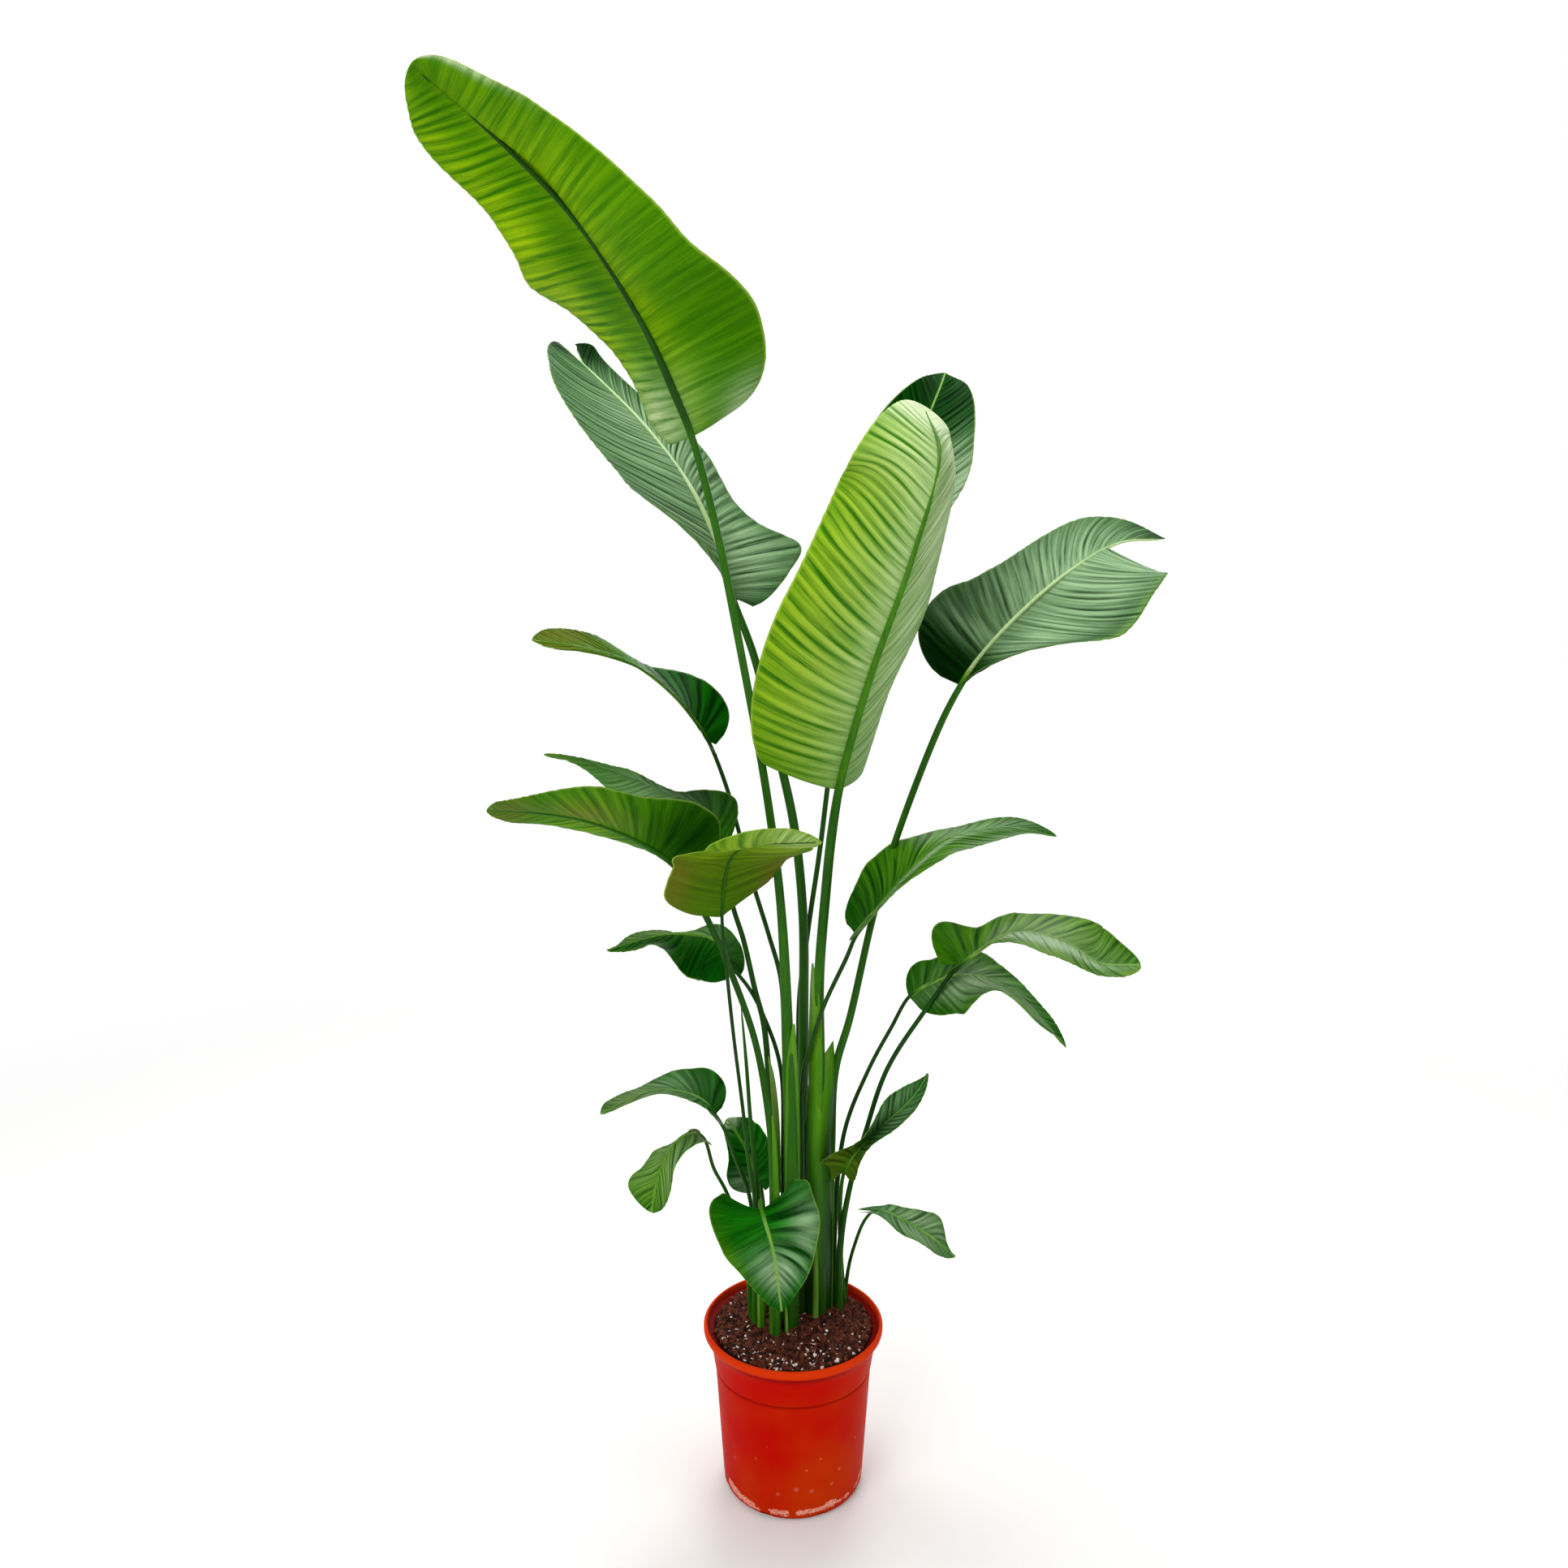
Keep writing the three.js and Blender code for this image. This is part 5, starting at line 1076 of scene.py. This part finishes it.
def makePot():
    p = pot
    band = p["bandHeight"]
    corners = [(0, 0, 0), (p["padRadius"], 0, 0.6), (p["padRadius"] + 1.2, p["recess"], 0.6),
               (p["ringInner"] - 1.2, p["recess"], 0.6), (p["ringInner"], 0, 0.6), (p["foot"], 0, 2.4),
               (potOuter(p["corner"]), p["corner"], 2.6), (potOuter(band), band - 4, 0.8),
               (potOuter(band) - 1, band - 2, 0.8), (potOuter(band) - 0.8, band, 0.8),
               (potOuter(band) + p["bandStep"], band + 1.6, 0.8), *p["lip"],
               (potInner(p["throat"]), p["throat"], 2), (potInner(band), band, 0),
               (potInner(p["corner"]), p["corner"], 2), (p["foot"] - 1, p["floor"], 1.6), (0, p["floor"], 0)]
    line = finerProfile(softProfile(corners), p["longest"])
    piece = addPiece(meshFrom("pot.turned", *turnProfile(line, p["segments"])))
    cutFrom(piece, footCutter())
    mesh = piece.data
    mesh.shade_smooth()
    mesh.set_sharp_from_angle(angle=math.radians(p["sharp"]))
    where = np.zeros(len(mesh.vertices) * 3)
    mesh.vertices.foreach_get("co", where)
    x, y, z = where.reshape(-1, 3).T / mm
    angle = np.degrees(np.arctan2(x, -y))
    scuff = np.zeros(len(x))
    for turn, height, wide, tall, strength in p["scuffs"]:
        away = (angle - turn + 180) % 360 - 180
        spot = np.exp(-(away / wide) ** 4 - ((z - height) / tall / 1.5) ** 4)
        scuff = np.maximum(scuff, strength * spot)
    setFields(mesh, {"scuff": scuff * (np.hypot(x, y) > potOuter(z) - 2.5)})
    mesh.materials.clear()
    mesh.materials.append(potFinish())
    return piece


def potFinish():
    material, tree, skin = newFinish("potPlastic")
    tints = {name: paint(pot[name]) for name in ("colour", "warm", "bright", "deep", "chalk", "rub", "grimeAndShade")}
    place = objectPlace(tree)
    height = axes(tree, place)["Z"]
    broad = cloudy(tree, place, 0.16)
    fine = cloudy(tree, stretched(tree, place, (1.0, 1.0, 0.3)), 0.012, 4.0)
    colour = blendColour(tree, remap(tree, broad, 0.35, 0.75), tints["colour"], tints["warm"])
    # the lip is painted a brighter orange as a painted highlight, and the inside a deeper red as painted
    # shade
    low, high = pot["brightFrom"]
    colour = blendColour(tree, remap(tree, height, low * mm, high * mm), colour, tints["bright"])
    radius = vectorCalc(tree, "LENGTH", {0: stretched(tree, place, (1.0, 1.0, 0.0))}, "Value")
    (low, high), (outer, inner) = pot["deepFrom"]
    inside = remap(tree, radius, inner * mm, outer * mm, 1.0, 0.0)
    inside = scaled(tree, inside, remap(tree, height, low * mm, high * mm))
    colour = blendColour(tree, inside, colour, tints["deep"])
    # painted shadow lines in the shoulder and under the lip
    for level, wide, strength in pot["shadows"]:
        off = calc(tree, "ABSOLUTE", calc(tree, "SUBTRACT", height, level * mm))
        colour = blendColour(tree, remap(tree, off, 0.0, wide * mm, strength, 0.0), colour, tints["deep"])
    for angle, level, size, strength in pot["specks"]:
        turn = math.radians(angle)
        reach = potOuter(level) * mm
        spot = (reach * math.sin(turn), -reach * math.cos(turn), level * mm)
        near = vectorCalc(tree, "DISTANCE", {0: place, 1: spot}, "Value")
        edge = size * 0.6 * mm + 0.001
        speck = remap(tree, scaled(tree, fine, 0.004, near), edge, edge + 0.0026, strength * 0.3, 0.0)
        colour = blendColour(tree, speck, colour, tints["chalk"])
    mottle = cloudy(tree, place, 0.004, 4.0, 0.7)
    worn = calc(tree, "ADD", readNumber(tree, "scuff"), scaled(tree, mottle, 1.1, -0.55))
    worn = remap(tree, worn, 0.42, 0.62)
    rub = remap(tree, cloudy(tree, place, 0.0025, 2.0), 0.4, 0.65)
    rub = blendColour(tree, rub, tints["chalk"], tints["rub"])
    colour = blendColour(tree, scaled(tree, worn, 0.85), colour, rub)
    # darker towards the foot: partly grime and partly painted shade
    footGrimeAndShade = remap(tree, height, 0.0, pot["grimeAndShadeHigh"] * mm, 0.8, 0.0)
    footGrimeAndShade = scaled(tree, footGrimeAndShade, remap(tree, mottle, 0.38, 0.6))
    colour = blendColour(tree, footGrimeAndShade, colour, tints["grimeAndShade"])
    rough = scaled(tree, worn, 0.25, scaled(tree, fine, 0.16, pot["roughness"] - 0.08))
    grain = bumpOf(tree, scaled(tree, worn, 1.2, cloudy(tree, place, 0.0016, 2.0)), 0.0002, 0.5)
    setSkin(tree, skin, colour, rough, grain, pot["gloss"])
    return material


setOnFrame(makePot(), "pot")
print("pot turned")

# the bed in millimetres, its grains in metres: share is the field of the bed that they lie on, dense at 1
soil = {"level": 215, "dome": 2.5, "seed": 11, "rings": 60, "spokes": 180, "gap": 0.4,
        "hills": [(52, 1.1), (21, 0.9), (9, 0.7)],
        "grains": {"crumb": dict(share="open", density=110000, smallest=0.0015, largest=0.0048, stretch=1.0,
                                 rough=0.5, detail=1, seed=3),
                   "fibre": dict(share="open", density=14000, smallest=0.0007, largest=0.0013, stretch=6.0,
                                 rough=0.3, detail=1, seed=9),
                   "grit": dict(share="front", density=26000, smallest=0.0012, largest=0.0031, stretch=1.0,
                                rough=0.25, detail=2, seed=21)}}


def hills(x, y, seed, sizes):
    dice = np.random.default_rng(seed)
    height = np.zeros_like(x)
    for size, tall in sizes:
        for _ in range(6):
            way = dice.uniform(0, 2 * math.pi)
            start = dice.uniform(0, 2 * math.pi)
            run = x * math.cos(way) + y * math.sin(way)
            height += tall / 6 ** 0.5 * np.sin(2 * math.pi * run / size + start)
    return height


def makeSoil():
    p = soil
    rim = potInner(p["level"]) - p["gap"]
    low = potInner(pot["corner"]) - p["gap"]
    under = pot["floor"] + 0.4
    spokes = p["spokes"]
    count = p["rings"]
    r = (np.linspace(0, 1, count + 1)[1:] ** 0.8 * rim)[:, None]
    angle = np.arange(spokes) * 2 * math.pi / spokes
    x = r * np.cos(angle)
    y = r * np.sin(angle)
    z = p["level"] + p["dome"] * (1 - (r / rim) ** 2) + hills(x, y, p["seed"], p["hills"])
    rows = [np.stack([x, y, z], -1)[::-1].reshape(-1, 3)]
    wall = ((rim, p["level"] - 5), ((rim + low) / 2, 110), (low, pot["corner"] + 1), (low - 5, under))
    for radius, level in wall:
        rows.append(np.stack([radius * np.cos(angle), radius * np.sin(angle), np.full(spokes, level)], -1))
    ring = np.vstack(rows)
    points = np.vstack([ring, [[0, 0, p["level"] + p["dome"]], [0, 0, under]]])
    # row 0 is the outermost of the top, so the rows run inwards to the middle, and the wall hangs from row 0
    faces = []
    for k in range(spokes):
        n = (k + 1) % spokes
        for row in range(count - 1):
            faces.append((row * spokes + k, row * spokes + n, (row + 1) * spokes + n, (row + 1) * spokes + k))
        faces.append(((count - 1) * spokes + k, (count - 1) * spokes + n, len(ring)))
        before = 0
        for row in range(count, count + 4):
            faces.append((row * spokes + k, row * spokes + n, before * spokes + n, before * spokes + k))
            before = row
        faces.append((before * spokes + n, before * spokes + k, len(ring) + 1))
    front = np.clip((-points[:, 1] - 5) / 85, 0, 1) ** 1.2 + 0.18
    bare = (np.hypot(points[:, 0], points[:, 1]) < rim - 2) * (points[:, 2] > p["level"] - 4.5)
    return addPiece(meshFrom("soil.bed", points, faces, {"front": front * bare, "open": 1.0 * bare}))


def randomOf(tree, kind, low, high, seed=0):
    first, out = (2, 1) if kind == "FLOAT" else (0, 0)
    inputs = {first: low, first + 1: high, "Seed": seed}
    return addNode(tree, "FunctionNodeRandomValue", inputs, data_type=kind).outputs[out]


# lays grains on a bed: each is a small lump, stretched and turned at random
def grainTree():
    tree, start = newTree("layGrains", [("Density", "Float", 1000), ("Share", "String", "open"),
                                        ("Seed", "Int", 1), ("Smallest", "Float", 0.001),
                                        ("Largest", "Float", 0.003), ("Stretch", "Float", 1.0),
                                        ("Rough", "Float", 0.35), ("Detail", "Int", 1),
                                        ("Finish", "Material", None)])
    seed = start["Seed"]
    density = scaled(tree, namedInput(tree, start["Share"]), start["Density"])
    spread = addNode(tree, "GeometryNodeDistributePointsOnFaces",
                     {"Mesh": start["Geometry"], "Density": density, "Seed": seed},
                     distribute_method="RANDOM")
    lump = addNode(tree, "GeometryNodeMeshIcoSphere", {"Radius": 1.0, "Subdivisions": start["Detail"]})
    place = addNode(tree, "GeometryNodeInputPosition").outputs[0]
    noise = addNode(tree, "ShaderNodeTexNoise", {"Vector": place, "Scale": 0.9}).outputs["Fac"]
    swell = scaled(tree, calc(tree, "SUBTRACT", noise, 0.5), scaled(tree, start["Rough"], 4.0))
    push = vectorCalc(tree, "SCALE", {0: place, "Scale": swell})
    rough = addNode(tree, "GeometryNodeSetPosition", {"Geometry": lump.outputs[0], "Offset": push})
    turn = randomOf(tree, "FLOAT_VECTOR", (0, 0, 0), (6.283, 6.283, 6.283), seed)
    size = randomOf(tree, "FLOAT", start["Smallest"], start["Largest"], calc(tree, "ADD", seed, 7.0))
    form = randomOf(tree, "FLOAT_VECTOR", (0.6, 0.6, 0.6), (1.15, 1.15, 1.15), calc(tree, "ADD", seed, 13.0))
    long = addNode(tree, "ShaderNodeCombineXYZ", {"X": start["Stretch"], "Y": 1.0, "Z": 1.0}).outputs[0]
    scale = vectorCalc(tree, "SCALE", {0: vectorCalc(tree, "MULTIPLY", {0: form, 1: long}), "Scale": size})
    lay = addNode(tree, "GeometryNodeInstanceOnPoints", {"Points": spread.outputs["Points"], "Scale": scale,
                                                         "Instance": rough.outputs[0], "Rotation": turn})
    tint = {"Geometry": lay.outputs[0], "Name": "tint", "Value": randomOf(tree, "FLOAT", 0.0, 1.0)}
    mark = addNode(tree, "GeometryNodeStoreNamedAttribute", tint, data_type="FLOAT", domain="INSTANCE")
    return endTree(tree, mark.outputs[0], start["Finish"])


earthLooks = {"bed": {"dark": "#120604", "pale": "#2c130c", "roughness": 0.95},
              "crumb": {"dark": "#180806", "pale": "#6b3524", "roughness": 0.85},
              "grit": {"dark": "#d8c3b6", "pale": "#fffaf4", "roughness": 0.7},
              "fibre": {"dark": "#3a1a10", "pale": "#a06a48", "roughness": 0.85}}


# the grains each have a tint of their own, the bed has one
def earthFinish(name):
    look = earthLooks[name]
    material, tree, skin = newFinish(name + "Earth")
    place = objectPlace(tree)
    noise = cloudy(tree, place, 0.006, 4.0, 0.7)
    tint = 0.35 if name == "bed" else readNumber(tree, "tint")
    share = calc(tree, "ADD", scaled(tree, noise, 0.8, -0.4), tint, clamp=True)
    colour = blendColour(tree, share, paint(look["dark"]), paint(look["pale"]))
    rough = scaled(tree, noise, 0.2, look["roughness"] - 0.1)
    setSkin(tree, skin, colour, rough, bumpOf(tree, cloudy(tree, place, 0.0012), 0.0004, 0.8), 0.15)
    return material


bed = makeSoil()
layGrains = grainTree()
soilPieces = [bed]
for name, grains in soil["grains"].items():
    layer = addToScene(bpy.data.objects.new("soil." + name, bed.data.copy()))
    soilPieces.append(grow(layer, layGrains, finish=earthFinish(name), **grains))
    print("soil", name, "faces:", len(layer.data.polygons))
bed.data.materials.append(earthFinish("bed"))
for piece in soilPieces:
    setOnFrame(piece, "soil")


# white paper that shows its own light further off, where it meets the background
def layFloor():
    sides = studio["floorSides"]
    turn = np.arange(sides) * 2 * math.pi / sides
    rings = [0.25, 0.6, 1.2, 2.4, 5, 10, studio["floorWide"] / 2]
    points = [(0, 0, 0)] + [(r * math.cos(a), r * math.sin(a), 0) for r in rings for a in turn]
    faces = [(0, 1 + k, 1 + (k + 1) % sides) for k in range(sides)]
    for row in range(len(rings) - 1):
        a = 1 + row * sides
        b = a + sides
        faces += [(a + k, b + k, b + (k + 1) % sides, a + (k + 1) % sides) for k in range(sides)]
    mesh = bpy.data.meshes.new("floor")
    mesh.from_pydata(points, [], faces)
    material, tree, skin = newFinish("palePaper")
    away = vectorCalc(tree, "LENGTH", {0: objectPlace(tree)}, "Value")
    far = remap(tree, away, studio["paperNear"], studio["paperFar"])
    glow = scaled(tree, far, 1 - studio["floorGlow"], studio["floorGlow"])
    inputs = {"Base Color": blendColour(tree, far, paint(studio["floor"]), (0, 0, 0, 1)), "Roughness": 0.9,
              "Specular IOR Level": 0.1, "Emission Color": paint(studio["paper"]), "Emission Strength": glow}
    for name, value in inputs.items():
        feed(tree, skin.inputs[name], value)
    addPiece(mesh, material)


layFloor()
print("floor laid")
